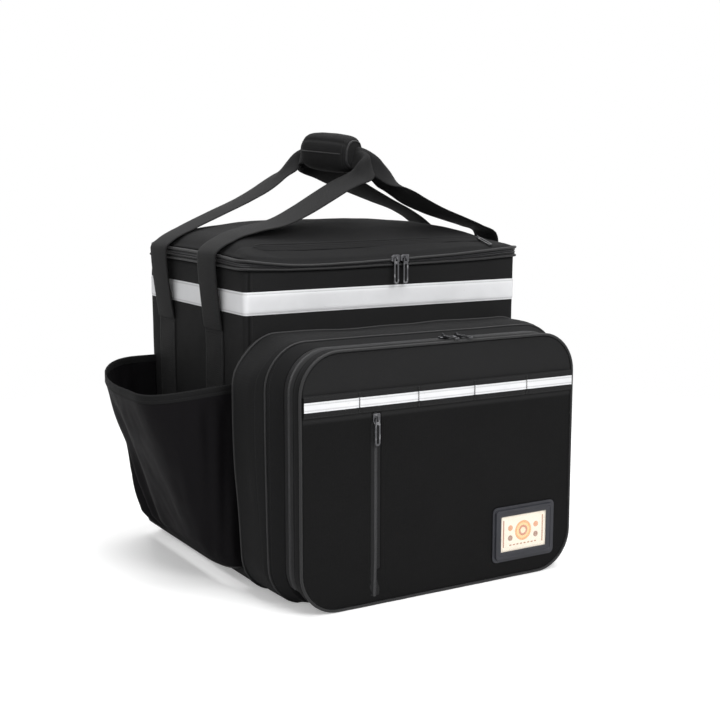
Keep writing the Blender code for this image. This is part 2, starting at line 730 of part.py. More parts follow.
def build_card_holder():
    """Moulded frame with a flange, a ridge, a sunk face and a lip, over a clear sheet and a card."""
    ridge_start = CARD_FLANGE_WIDTH
    ridge_top = ridge_start + CARD_STEP_SLOPE
    ridge_end = ridge_top + CARD_RIDGE_WIDTH
    face_start = ridge_end + CARD_STEP_SLOPE
    pane_back = CARD_THICKNESS + SEAT_GAP
    rebate_depth = pane_back + PANE_THICKNESS + SEAT_GAP
    rebate = CARD_BORDER - CARD_REBATE
    steps = (
        (0.0, 0.0),
        (0.0, CARD_FLANGE),
        (ridge_start, CARD_FLANGE),
        (ridge_top, CARD_RIDGE),
        (ridge_end, CARD_RIDGE),
        (face_start, CARD_FACE),
        (CARD_BORDER - CARD_LIP_WIDTH, CARD_FACE),
        (CARD_BORDER, rebate_depth + CARD_LIP / 2),
        (CARD_BORDER, rebate_depth),
        (rebate, rebate_depth),
        (rebate, 0.0),
    )
    lofted("card_frame", [card_loop(*step) for step in steps], "flap", MOULDED_RUBBER, closed=True)
    inside = rebate + SEAT_GAP
    card = [card_loop(inside, 0.0), card_loop(inside, CARD_THICKNESS)]
    pane = [card_loop(inside, pane_back), card_loop(inside, pane_back + PANE_THICKNESS)]
    lofted("id_card", card, "flap", PRINTED_CARD)
    lofted("card_window", pane, "flap", CLEAR_SHEET)


# Cup pockets


def pocket_loop(side, share, inset, z):
    """A cup pocket's outline in plan, where it reaches out by a share of its reach at the mouth."""
    wall = HALF_WIDTH + POCKET_STANDOFF + inset
    far = HALF_WIDTH + POCKET_STANDOFF + share * POCKET_REACH - inset
    front = POCKET_FRONT + inset
    rear = POCKET_REAR - inset
    rear_reach = POCKET_CORNER_SHARE * (far - wall)
    front_reach = min(POCKET_CORNER, rear_reach)
    front_depth = POCKET_CORNER - inset
    rear_depth = POCKET_REAR_CORNER - inset
    corners = (
        (front + front_depth, front_depth, front_reach, -1),
        (rear - rear_depth, rear_depth, rear_reach, 0),
    )
    points = [(side * wall, front, z)]
    for centre_y, depth, reach, start in corners:
        for step in range(CORNER_STEPS + 1):
            angle = (start + step / CORNER_STEPS) * math.pi / 2
            x = far - reach + reach * math.cos(angle)
            points.append((side * x, centre_y + depth * math.sin(angle), z))
    points.append((side * wall, rear, z))
    return points


def build_cup_pockets():
    """An open pocket on each side, wide at the mouth and drawn in to the wall at the foot, with its hem."""
    height = POCKET_TOP - POCKET_FOOT
    levels = list(zip(POCKET_HEIGHT_SHARES, POCKET_REACH_SHARES))
    for name, side in SIDES:
        outer = [pocket_loop(side, reach, 0.0, POCKET_FOOT + level * height) for level, reach in levels]
        inner = [pocket_loop(side, reach, CLOTH, POCKET_FOOT + level * height) for level, reach in levels[1:]]
        inner.insert(0, pocket_loop(side, levels[0][1], CLOTH, POCKET_FOOT + CLOTH))
        inner.reverse()
        lofted(name + "_cup_pocket", outer + inner, "bag", THIN_CLOTH)
        spread = (HEM_THICKNESS - CLOTH) / 2
        foot = POCKET_TOP + SEAT_GAP
        corners = (
            (-spread, foot),
            (-spread, foot + HEM_HEIGHT),
            (CLOTH + spread, foot + HEM_HEIGHT),
            (CLOTH + spread, foot),
        )
        hem = [pocket_loop(side, 1, inset, z) for inset, z in corners]
        lofted(name + "_pocket_hem", hem, "bag", BLACK_CLOTH, closed=True)


# Handles


def build_strap_bases():
    """The lower ends of the handles, sewn flat on the box's sides."""
    near = HALF_WIDTH + SEAT_GAP
    top = STRAP_PIVOT_Z - WEBBING / 2 - SEAT_GAP
    for name, side in SIDES:
        low_x, high_x = sorted((side * near, side * (near + WEBBING)))
        for leg, middle in (("front", FRONT_LEG_Y), ("rear", REAR_LEG_Y)):
            low = (low_x, middle - STRAP_WIDTH / 2, BASE_RISE + STRAP_FOOT_RISE)
            high = (high_x, middle + STRAP_WIDTH / 2, top)
            slab(name + "_" + leg + "_strap_base", low, high, "bag", BLACK_WEBBING)


def leg_route(side, leg_y, end):
    """Centre points of one leg of a handle, from its seam to an end of the grip, each with its fold share."""
    end_y = GRIP_Y + end * (GRIP_LENGTH / 2 + GRIP_ENTRY)
    rim_x = side * (HALF_WIDTH + RIM_STANDOFF)
    straight = [
        Vector((side * STRAP_X, leg_y, STRAP_PIVOT_Z)),
        Vector((side * STRAP_X, leg_y, WALL_TOP - LEG_STRAIGHT_DROP)),
        Vector((rim_x, leg_y, WALL_TOP + RIM_CLEAR_RISE)),
    ]
    start = Vector((rim_x, leg_y, WALL_TOP + BEND_START_RISE))
    stop = Vector((side * FOLDED_X, end_y, STRAP_TOP_Z))
    rise = start + Vector((0, 0, BEND_RISE))
    approach = stop + Vector((0, end * GRIP_APPROACH, 0))
    bent = interpolate_bezier(start, rise, approach, stop, STRAP_STEPS)
    shares = [0.0] * len(straight) + [step / (STRAP_STEPS - 1) for step in range(STRAP_STEPS)]
    return list(zip(straight + bent, shares))


def strap_section(point, run, side, share):
    """A handle's cross-section: flat against the side at its leg, level and folded narrow at the grip."""
    lean = math.pi / 2 * min(2 * share, 1)
    out = Vector((side * math.cos(lean), 0, math.sin(lean)))
    across = out.cross(run).normalized()
    out = run.cross(across).normalized()
    folding = max(share - FOLD_START_SHARE, 0) / (1 - FOLD_START_SHARE)
    folded = folding * folding * (3 - 2 * folding)
    half_width = across * (STRAP_WIDTH + folded * (FOLDED_WIDTH - STRAP_WIDTH)) / 2
    half_thick = out * (WEBBING + folded * (FOLDED_THICKNESS - WEBBING)) / 2
    return [
        point - half_width - half_thick,
        point + half_width - half_thick,
        point + half_width + half_thick,
        point - half_width + half_thick,
    ]


def build_straps():
    """The two handles: each leaves the box's side, folds narrow through the grip and comes back."""
    for name, side in SIDES:
        stations = leg_route(side, FRONT_LEG_Y, -1)
        stations += reversed(leg_route(side, REAR_LEG_Y, 1))
        points = [point for point, _ in stations]
        rings = []
        for here, (point, share) in enumerate(stations):
            run = points[min(here + 1, len(points) - 1)] - points[max(here - 1, 0)]
            rings.append(strap_section(point, run.normalized(), side, share))
        lofted(name + "_strap", rings, name + "_handle", BLACK_WEBBING)


def build_grip():
    """The padded wrap that holds both handles together, open on its right side to let one out."""
    ends = (
        (-GRIP_LENGTH / 2, GRIP_END_ROUND),
        (GRIP_END_ROUND - GRIP_LENGTH / 2, 0.0),
        (GRIP_LENGTH / 2 - GRIP_END_ROUND, 0.0),
        (GRIP_LENGTH / 2, GRIP_END_ROUND),
    )
    rings = []
    for run, inset in ends:
        width = GRIP_WIDTH - 2 * inset
        height = GRIP_HEIGHT - 2 * inset
        foot = GRIP_Z - height / 2
        rings.append(standing_loop(width, height, GRIP_CORNER - inset, foot, GRIP_Y + run))
    grip = lofted("grip_wrap", rings, "left_handle", BLACK_CLOTH)
    half_slot = FOLDED_THICKNESS / 2 + 2 * SEAT_GAP
    inner_x = FOLDED_X + FOLDED_WIDTH / 2 + 2 * SEAT_GAP
    low = (-inner_x, GRIP_Y - GRIP_LENGTH / 2 - CUT_OVERRUN, STRAP_TOP_Z - half_slot)
    high = (GRIP_WIDTH / 2 + CUT_OVERRUN, GRIP_Y + GRIP_LENGTH / 2 + CUT_OVERRUN, STRAP_TOP_Z + half_slot)
    combine(grip, slab("grip_slot_cutter", low, high, "left_handle", BLACK_CLOTH), "DIFFERENCE")


# Zip sliders and pulls


def build_slider(name, place, out, neck, upright=False):
    """A slider's plate with its wire bridge, drawn round the bar that its pull turns on."""
    frame = frame_at(place, out)
    if upright:
        turned = frame @ Matrix.Rotation(math.pi / 2, 4, "Z")
    else:
        turned = frame
    plate_top = -PIVOT_RISE
    plate_foot = plate_top - SLIDER_PLATE
    levels = [
        (plate_foot, 1),
        (plate_top - SLIDER_BEVEL, 1),
        (plate_top, SLIDER_TOP_SHARE),
    ]
    if neck:
        levels.insert(0, (plate_foot, SLIDER_NECK_SHARE))
        levels.insert(0, (plate_foot - neck, SLIDER_NECK_SHARE))
    rings = []
    for z, share in levels:
        outline = [(share * SLIDER_LENGTH * x, share * SLIDER_WIDTH * y) for x, y in SLIDER_OUTLINE_SHARES]
        rings.append([turned @ Vector((x, y, z)) for x, y in outline])
    plate = lofted(name, rings, name, DARK_METAL)
    route = [Vector((0, BRIDGE_RADIUS, plate_top - SLIDER_PLATE / 2))]
    for step in range(BRIDGE_STEPS + 1):
        angle = math.pi * step / BRIDGE_STEPS
        route.append(BRIDGE_RADIUS * Vector((0, math.cos(angle), math.sin(angle))))
    route.append(Vector((0, -BRIDGE_RADIUS, plate_top - SLIDER_PLATE / 2)))
    rings = []
    for here, point in enumerate(route):
        run = (route[min(here + 1, len(route) - 1)] - route[max(here - 1, 0)]).normalized()
        inward = run.cross(Vector((1, 0, 0)))
        ring = []
        for side in range(WIRE_SIDES):
            angle = 2 * math.pi * (side + 0.5) / WIRE_SIDES
            offset = math.cos(angle) * inward + math.sin(angle) * Vector((1, 0, 0))
            ring.append(frame @ (point + BRIDGE_WIRE / 2 * offset))
        rings.append(ring)
    combine(plate, lofted(name + "_bridge", rings, name, DARK_METAL), "UNION")


def slot_outline(top, foot):
    """A long slot with round ends, from its top to its foot."""
    radius = PULL_SLOT_WIDTH / 2
    points = []
    for centre, start in ((top - radius, 0), (foot + radius, 1)):
        for step in range(PULL_ROUND_STEPS + 1):
            angle = math.pi * (start + step / PULL_ROUND_STEPS)
            points.append((radius * math.cos(angle), centre + radius * math.sin(angle)))
    return points


def build_pull(name, place, out):
    """A long pull: an end bar under the slider's bridge, a window for the bridge and a slotted tab."""
    frame = frame_at(place, out)
    top = PULL_BAR / 2
    foot = top - PULL_LENGTH
    half = PULL_WIDTH / 2
    side = [(PULL_EYE_WIDTH / 2, top), (half, top - PULL_SHOULDER_SHARE * PULL_LENGTH)]
    tip = []
    for step in range(PULL_ROUND_STEPS + 1):
        angle = math.pi * step / PULL_ROUND_STEPS
        tip.append((half * math.cos(angle), foot + half - half * math.sin(angle)))
    outline = side + tip + [(-x, y) for x, y in reversed(side)]
    faces = (-PULL_THICKNESS / 2, PULL_THICKNESS / 2)
    rings = [[frame @ Vector((x, y, z)) for x, y in outline] for z in faces]
    pull = lofted(name, rings, name, DARK_METAL)
    width = PULL_WINDOW_WIDTH / 2
    window_top = -PULL_BAR / 2
    window_foot = -(BRIDGE_RADIUS + BRIDGE_WIRE / 2 + PULL_CLEARANCE)
    corners = ((-width, window_foot), (width, window_foot), (width, window_top), (-width, window_top))
    reach = PULL_THICKNESS / 2 + CUT_OVERRUN
    slot = slot_outline(window_foot - PULL_CROSSBAR, foot + PULL_RIM)
    for label, outline in (("_window", corners), ("_slot", slot)):
        rings = [[frame @ Vector((x, y, z)) for x, y in outline] for z in (-reach, reach)]
        combine(pull, lofted(name + label, rings, name, DARK_METAL), "DIFFERENCE")


def slider_stand(surface_gap):
    """How far the bar of a pull stands out from the face that its slider runs on."""
    return surface_gap + SLIDER_PLATE + PIVOT_RISE


def add_slider(name, carrier, place, out, neck=0.0, upright=False):
    """A slider and its pull, each a body of its own."""
    slider = name.format("slider")
    pull = name.format("pull")
    add_body(slider, carrier, place)
    add_body(pull, slider, place)
    build_slider(slider, place, out, neck, upright)
    build_pull(pull, place, out)


def build_sliders():
    """All six sliders: two on the lid, two on the compartment and one on each flat pocket."""
    front = Vector((0, -1, 0))
    up = Vector((0, 0, 1))
    piping_face = -(PIPING_OUTSET + PIPING / 2)
    coil_face = -(CHAIN_OUTSET + COIL_THICKNESS / 2)
    lid_y = piping_face - slider_stand(SEAT_GAP)
    neck = coil_face - piping_face
    coil_top = FLAP_TOP_Z - TAPE / 2 + COIL_THICKNESS / 2
    compartment_z = coil_top + slider_stand(SEAT_GAP)
    for name, side in SIDES:
        lid_x = LID_SLIDER_X + side * LID_SLIDER_SPACING / 2
        add_slider("lid_{}_" + name, "bag", (lid_x, lid_y, CHAIN_Z), front, neck)
        compartment_x = COMPARTMENT_SLIDER_X + side * COMPARTMENT_SLIDER_SPACING / 2
        add_slider("compartment_{}_" + name, "flap", (compartment_x, CHAIN_Y, compartment_z), up)
    chain_y = FACE_Y + CLOTH - TAPE - CHAIN_RISE
    pocket_place = (POCKET_ZIP_X, chain_y - slider_stand(SEAT_GAP), POCKET_ZIP_TOP - POCKET_SLIDER_DROP)
    add_slider("pocket_{}", "flap", pocket_place, front, upright=True)
    middle, out = lid_front_slope()
    chain_rise = SEAT_GAP + TAPE + CHAIN_RISE
    lid_place = middle + (chain_rise + slider_stand(SEAT_GAP)) * out + Vector((LID_POCKET_SLIDER_X, 0, 0))
    add_slider("lid_pocket_{}", "lid", lid_place, out)


# Whole bag


def add_bodies():
    """The bag itself and the bodies that hinge on it."""
    add_body("bag", None, (0, 0, 0))
    add_body("lid", "bag", (0, HINGE_Y, CHAIN_Z))
    add_body("flap", "bag", (0, FACE_Y, FLAP_AXIS_Z))
    for name, side in SIDES:
        add_body(name + "_handle", "bag", (side * STRAP_X, GRIP_Y, STRAP_PIVOT_Z))


def stand_on_origin():
    """Move the bag so that the middle of its bounding box, on the ground, is the origin."""
    bpy.context.view_layer.update()
    graph = bpy.context.evaluated_depsgraph_get()
    corners = []
    for item in bpy.data.objects:
        if item.type in {"MESH", "CURVE"} and not item.hide_render:
            ready = item.evaluated_get(graph)
            corners += [ready.matrix_world @ point.co for point in ready.to_mesh().vertices]
            ready.to_mesh_clear()
    low = Vector([min(corner[axis] for corner in corners) for axis in range(3)])
    high = Vector([max(corner[axis] for corner in corners) for axis in range(3)])
    middle = (low + high) / 2
    bodies["bag"][0].location = (-middle.x, -middle.y, -low.z)
    print("size", [round(side, 5) for side in high - low])
    print("moved", [round(-middle.x, 6), round(-middle.y, 6)], "lowest point", round(low.z, 6))
    for name, (_, place) in bodies.items():
        print("axis", name, [round(value, 6) for value in place - Vector((middle.x, middle.y, low.z))])


def main():
    """Build the bag, piece by piece."""
    clear_scene()
    add_bodies()
    build_shell()
    floor_z = build_base()
    build_wall_foams()
    build_liner(floor_z)
    build_band()
    build_rim()
    build_lid()
    build_lid_pocket_zip()
    build_gusset()
    build_compartment_zip()
    build_flap_panel()
    build_flap_layers()
    build_pocket_zip()
    build_front_webbing()
    build_card_holder()
    build_cup_pockets()
    build_strap_bases()
    build_straps()
    build_grip()
    build_sliders()
    stand_on_origin()


main()
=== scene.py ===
import logging
import math
from dataclasses import dataclass, replace
from enum import Enum
from typing import Callable, Sequence, Union

import bmesh
import bpy
import numpy as np
from mathutils import Matrix, Vector, noise
from mathutils.bvhtree import BVHTree


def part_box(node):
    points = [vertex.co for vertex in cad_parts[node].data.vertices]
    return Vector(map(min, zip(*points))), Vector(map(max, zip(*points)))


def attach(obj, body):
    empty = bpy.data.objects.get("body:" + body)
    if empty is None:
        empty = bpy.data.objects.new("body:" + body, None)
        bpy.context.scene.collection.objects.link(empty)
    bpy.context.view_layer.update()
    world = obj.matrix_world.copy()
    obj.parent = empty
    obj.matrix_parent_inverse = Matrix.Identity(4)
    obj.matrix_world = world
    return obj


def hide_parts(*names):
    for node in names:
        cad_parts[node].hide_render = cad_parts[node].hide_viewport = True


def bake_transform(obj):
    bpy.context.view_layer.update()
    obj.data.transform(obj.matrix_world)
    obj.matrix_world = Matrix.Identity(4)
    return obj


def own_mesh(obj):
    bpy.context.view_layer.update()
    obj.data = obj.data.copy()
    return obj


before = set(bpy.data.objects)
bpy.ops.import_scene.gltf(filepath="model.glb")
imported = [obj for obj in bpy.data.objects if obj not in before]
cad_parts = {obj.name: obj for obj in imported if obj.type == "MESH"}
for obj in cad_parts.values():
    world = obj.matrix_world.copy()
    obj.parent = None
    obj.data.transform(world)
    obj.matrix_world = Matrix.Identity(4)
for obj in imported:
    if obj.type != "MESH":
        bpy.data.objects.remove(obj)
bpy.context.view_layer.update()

# The box's own frame: x = 0 in the middle, y = 0 on the box's front wall, z = 0 on the floor.
FRONT_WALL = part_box("body_shell")[0].y
SHIFT = np.array((0.0, FRONT_WALL, 0.0))

Points = np.ndarray
Colour = tuple[float, float, float]
Floats = tuple[float, ...]
Table = tuple[Floats, Floats]
Pairs = Sequence[tuple[float, float]]
Item = bpy.types.Object
log = logging.getLogger("delivery_bag")


# Shaders


class Signal:
    """A node socket whose arithmetic adds Math nodes to its tree."""

    def __init__(self, nodes: "Nodes", socket: bpy.types.NodeSocket) -> None:
        """Hold a socket and the nodes that it belongs to."""
        self.nodes = nodes
        self.socket = socket

    def math(self, operation: str, *others: "Value", first: bool = True) -> "Signal":
        """Add a Math node on this signal.

        Args:
            operation: the node's operation.
            others: the further inputs, signals or numbers.
            first: whether this signal is the first input or the second.

        Returns:
            The result of the node.
        """
        terms = (self, *others) if first else (*others, self)
        return self.nodes.add("ShaderNodeMath", {"operation": operation}, dict(enumerate(terms)))

    def __add__(self, other: "Value") -> "Signal":
        """Sum with a signal or a number."""
        return self.math("ADD", other)

    __radd__ = __add__

    def __sub__(self, other: "Value") -> "Signal":
        """Difference from a signal or a number."""
        return self.math("SUBTRACT", other)

    def __rsub__(self, other: "Value") -> "Signal":
        """A number less this signal."""
        return self.math("SUBTRACT", other, first=False)

    def __mul__(self, other: "Value") -> "Signal":
        """Product with a signal or a number."""
        return self.math("MULTIPLY", other)

    __rmul__ = __mul__

    def __truediv__(self, other: "Value") -> "Signal":
        """Quotient by a signal or a number."""
        return self.math("DIVIDE", other)

    def __rtruediv__(self, other: "Value") -> "Signal":
        """A number divided by this signal."""
        return self.math("DIVIDE", other, first=False)

    def __abs__(self) -> "Signal":
        """Size without sign."""
        return self.math("ABSOLUTE")

    def sine(self) -> "Signal":
        """Sine of the signal in radians."""
        return self.math("SINE")

    def fraction(self) -> "Signal":
        """What is left above the next lower whole number."""
        return self.math("FRACT")

    def above(self, limit: "Value") -> "Signal":
        """One where the signal is over a limit, else zero."""
        return self.math("GREATER_THAN", limit)

    def smooth(self, low: float, high: float) -> "Signal":
        """A soft step.

        Args:
            low: where the step starts.
            high: where it ends; below low it falls instead of rising.

        Returns:
            A signal from 0 to 1.
        """
        ends = {"Value": self, "From Min": min(low, high), "From Max": max(low, high)}
        step = self.nodes.add("ShaderNodeMapRange", {"interpolation_type": "SMOOTHSTEP"}, ends)
        return 1 - step if high < low else step


Value = Union[Signal, float]


class Nodes:
    """A node tree, to which every further node is added in one way."""

    def __init__(self, tree: bpy.types.NodeTree) -> None:
        """Hold a tree."""
        self.tree = tree

    def add(
        self, kind: str, settings: dict[str, object], sockets: dict[object, object], output: object = 0
    ) -> Signal:
        """Add one node.

        Args:
            kind: the node's type name.
            settings: its properties.
            sockets: values or signals by socket name or number.
            output: the name or number of the result.

        Returns:
            The chosen output.
        """
        node = self.tree.nodes.new(kind)
        for name, value in settings.items():
            setattr(node, name, value)
        for name, value in sockets.items():
            self.feed(node.inputs[name], value)
        return Signal(self, node.outputs[output])

    def feed(self, socket: bpy.types.NodeSocket, value: object) -> None:
        """Set a socket to a value, or link a signal to it."""
        if isinstance(value, Signal):
            self.tree.links.new(value.socket, socket)
        elif isinstance(value, tuple) and socket.type == "RGBA" and len(value) == 3:
            socket.default_value = (*value, 1.0)
        else:
            socket.default_value = value


class Dye(Nodes):
    """The nodes of one material."""

    def __init__(self, name: str) -> None:
        """Start a material with a bare Principled shader."""
        self.material = bpy.data.materials.new(name)
        self.material.use_nodes = True
        super().__init__(self.material.node_tree)
        self.shader = self.tree.nodes["Principled BSDF"]

    def set(self, **inputs: object) -> None:
        """Feed sockets of the Principled shader, by their names with underscores for spaces."""
        for name, value in inputs.items():
            self.feed(self.shader.inputs[name.replace("_", " ")], value)

    def cloth_map(self) -> tuple[Signal, Signal, Signal]:
        """The cloth's own map in metres: a vector, and its distances across and along the piece."""
        place = self.add("ShaderNodeUVMap", {"uv_map": "cloth"}, {})
        return place, self.split(place, 0), self.split(place, 1)

    def solid_map(self) -> Signal:
        """The places of a piece that has no cloth map, in metres."""
        return self.add("ShaderNodeTexCoord", {}, {}, "Object")

    def split(self, vector: Signal, axis: int) -> Signal:
        """One component of a vector signal."""
        return self.add("ShaderNodeSeparateXYZ", {}, {0: vector}, axis)

    def mottle(self, place: Signal, scale: float, detail: float = 2.0) -> Signal:
        """Soft noise from 0 to 1 on a place."""
        return self.add("ShaderNodeTexNoise", {}, {"Vector": place, "Scale": scale, "Detail": detail})

    def cells(self, place: Signal, scale: float) -> Signal:
        """The distance to the middle of the nearest cell, in cells."""
        return self.add("ShaderNodeTexVoronoi", {}, {"Vector": place, "Scale": scale})

    def tint(self, factor: Value, low: object, high: object) -> Signal:
        """A colour between two colours."""
        settings = {"data_type": "RGBA", "clamp_factor": True}
        return self.add("ShaderNodeMix", settings, {0: factor, 6: low, 7: high}, 2)

    def relief(self, height: Signal, depth: float) -> None:
        """Turn a height from 0 to 1 into bump of a depth in metres."""
        sockets = {"Height": height, "Distance": depth, "Strength": 1.0}
        self.set(Normal=self.add("ShaderNodeBump", {}, sockets))


class Finish:
    """A finish with a material's name and the part's slot."""

    name: str
    slot: str

    def material(self) -> bpy.types.Material:
        """Make the material once, and return it again after that."""
        found = bpy.data.materials.get(self.name)
        if found:
            return found
        dye = Dye(self.name)
        self.paint(dye)
        return dye.material

    def paint(self, dye: Dye) -> None:
        """Colour a new material."""
        raise NotImplementedError


class Weave(Enum):
    """How the yarns of a cloth cross."""

    OXFORD = "oxford"
    PLAIN = "plain"
    WEBBING = "webbing"
    ZIP = "zip"


@dataclass(frozen=True)
class Row:
    """A line along the cloth: a row of stitches, or a sewn seam.

    Attributes:
        at: the distance across the cloth where the line runs.
        along: True for a line that runs along the cloth, not across it.
        seam: True for a pressed seam, which is painted darker as painted shade in its groove, False for
            stitches, which are painted lighter as a painted sheen on the thread.
        start: where the line starts, in the other direction.
    """

    at: float
    along: bool = False
    seam: bool = False
    start: float = -10.0
    end: float = 10.0


@dataclass(frozen=True)
class Cloth(Finish):
    """A woven finish, with its yarns, its soft unevenness and its rows of stitches.

    Attributes:
        pitch: the distance between yarns.
        relief: how deep the weave is.
        gloss: the shader's specular level.
        panel: the height over which the cloth is painted lighter, a painted highlight on the face's upper
            part, which turns up to the light; below it the colour is painted dark as painted shade.
    """

    name: str
    colour: Colour
    weave: Weave = Weave.OXFORD
    pitch: float = 0.0008
    relief: float = 0.00022
    roughness: float = 0.78
    gloss: float = 0.07
    sheen: float = 0.01
    rows: tuple[Row, ...] = ()
    slot: str = "black_oxford"
    panel: float = 0.0

    def with_rows(self, name: str, *rows: Row) -> "Cloth":
        """The same cloth under another name, with rows of stitches."""
        return replace(self, name=name, rows=rows)

    def yarns(self, across: Signal, along: Signal) -> Signal:
        """The height of the weave, from 0 to 1."""
        warp = (across * (math.pi / self.pitch)).sine()
        weft = (along * (math.pi / self.pitch)).sine()
        if self.weave is Weave.WEBBING:
            slant = abs((across / (self.pitch * 9)).fraction() - 0.5) * 4
            ribs = (along * (math.pi / self.pitch) + slant * math.pi).sine()
            return 0.5 + 0.34 * ribs + 0.16 * warp
        if self.weave is Weave.ZIP:
            slant = abs((across / (self.pitch * 4)).fraction() - 0.5) * 6
            return 0.5 + 0.5 * (along * (math.pi / self.pitch) + slant).sine()
        if self.weave is Weave.PLAIN:
            return 0.5 + 0.5 * warp * weft
        pairs = (across * (math.pi / (2 * self.pitch))).sine()
        return 0.5 + 0.32 * warp * weft + 0.18 * pairs * weft

    def line(self, row: Row, across: Signal, along: Signal) -> tuple[Signal, Signal]:
        """The mask of one row and the part of it that stands up."""
        place, run = (across, along) if row.along else (along, across)
        inside = run.above(row.start) * (1 - run.above(row.end))
        away = abs(place - row.at)
        if row.seam:
            return away.smooth(0.0022, 0.0004) * inside, away.smooth(0.0022, 0.0005) * inside * -1.0
        dash = abs((run / 0.0032).fraction() - 0.5).smooth(0.42, 0.33)
        thread = away.smooth(0.0006, 0.00025) * dash * inside
        dimple = away.smooth(0.0026, 0.0004) * inside
        return thread, thread * 0.7 - dimple * 0.6

    def paint(self, dye: Dye) -> None:
        """Colour the cloth, with its weave and its rows, painted shade and sheen along the rows, and painted
        light and shade about the panel height.
        """
        place, across, along = dye.cloth_map()
        slub = dye.mottle(place, 900.0, 1.0)
        cloudy = dye.mottle(place, 16.0, 3.0)
        fuzz = dye.mottle(place, 260.0, 2.0)
        height = self.yarns(across, along) * (0.7 + 0.6 * slub) + fuzz * 0.35
        shade = 0.55 + 0.45 * cloudy + 0.35 * slub * self.yarns(across, along)
        # Painted light: pressed seams are painted darker, painted shade in their grooves, and stitches
        # lighter, a painted sheen on the thread.
        painted_row_light = 0.0
        for row in self.rows:
            mask, up = self.line(row, across, along)
            height = height + up * (0.0005 / self.relief)
            painted_row_light = mask * (-0.75 if row.seam else 1.1) + painted_row_light
        if self.rows:
            shade = shade + painted_row_light
        # Painted light: below the panel height the colour drops to its darkest, painted shade, and above it
        # stays lighter, a painted highlight where the face turns up to the light.
        if self.panel:
            shade = shade * along.smooth(self.panel - 0.002, self.panel + 0.002)
        low = tuple(value * 0.45 for value in self.colour)
        high = tuple(min(value * 1.75, 1.0) for value in self.colour)
        dye.set(Base_Color=dye.tint(shade * 0.62, low, high))
        dye.set(Roughness=self.roughness - 0.1 + 0.18 * cloudy)
        dye.set(Specular_IOR_Level=self.gloss, Sheen_Weight=self.sheen, Sheen_Roughness=0.45)
        dye.relief(height, self.relief)


@dataclass(frozen=True)
class ReflectiveTape(Finish):
    """Silver glass-bead tape with pressed cells and sewn edges."""

    name: str
    width: float
    colour: Colour = (0.8, 0.805, 0.82)
    slot: str = "reflective_tape"

    def paint(self, dye: Dye) -> None:
        """Colour the tape."""
        place, across, along = dye.cloth_map()
        bead = dye.mottle(place, 2600.0, 0.0)
        cloud = dye.mottle(place, 30.0, 3.0)
        weave = (across * 5200).sine() * (along * 5200).sine()
        edge = abs(abs(along - self.width / 2) - (self.width / 2 - 0.0021))
        dash = abs((across / 0.003).fraction() - 0.5).smooth(0.44, 0.34)
        thread = edge.smooth(0.0007, 0.0003) * dash
        groove = edge.smooth(0.0016, 0.0003)
        scuff = dye.mottle(place, 240.0, 4.0).smooth(0.62, 0.8)
        # The groove beside each sewn edge is painted darker, painted shade in the groove; the dark thread and
        # the scuffs are the tape's own marks.
        shade = 0.35 + 0.35 * cloud + 0.15 * bead - 0.25 * scuff - 0.3 * groove - 0.2 * thread
        low = tuple(value * 0.66 for value in self.colour)
        high = tuple(value * 1.14 for value in self.colour)
        dye.set(Base_Color=dye.tint(shade, low, high), Roughness=0.42 + 0.12 * bead + 0.2 * scuff)
        dye.set(Metallic=0.25, Specular_IOR_Level=0.5)
        dye.relief(0.2 * weave + 0.4 * bead + 1.2 * thread - 1.0 * groove, 0.00012)


@dataclass(frozen=True)
class Foil(Finish):
    """Aluminised film on a light cloth, heat-pressed in small diamonds."""

    name: str = "foil_film"
    slot: str = "foil_lining"

    def paint(self, dye: Dye) -> None:
        """Colour the film."""
        place, across, along = dye.cloth_map()
        crease = dye.mottle(place, 42.0, 6.0)
        fine = dye.mottle(place, 190.0, 3.0)
        diamond = abs(((across + along) * 90).sine()) * abs(((across - along) * 90).sine())
        height = 0.6 * crease + 0.25 * fine + 0.35 * diamond.smooth(0.0, 0.35)
        # Painted light: the foil is painted darker in the hollows of its creases and lighter on their ridges,
        # painted shade that follows the bump.
        dye.set(Base_Color=dye.tint(crease, (0.34, 0.345, 0.36), (0.56, 0.565, 0.58)))
        dye.set(Metallic=0.85, Roughness=0.26 + 0.22 * fine, Specular_IOR_Level=0.5)
        dye.relief(height, 0.001)


@dataclass(frozen=True)
class Coil(Finish):
    """The nylon coil of a zip: close ribs with a row of thread along them."""

    name: str
    pitch: float = 0.0014
    slot: str = "zip_tape"

    def paint(self, dye: Dye) -> None:
        """Colour the coil."""
        place, across, along = dye.cloth_map()
        turns = (along * (2 * math.pi / self.pitch) + across * 900).sine()
        grain = dye.mottle(place, 500.0, 2.0)
        shade = 0.4 + 0.35 * turns + 0.2 * grain
        dye.set(Base_Color=dye.tint(shade, (0.005, 0.005, 0.006), (0.048, 0.048, 0.051)))
        dye.set(Roughness=0.36 + 0.16 * grain, Specular_IOR_Level=0.45)
        dye.relief(turns, 0.00035)


class Sheen(Enum):
    """Finishes for rigid pieces, which have no cloth map."""

    GUNMETAL = "gunmetal"
    MOULDED = "moulded"
    CLEAR = "clear"
    BOARD = "board"


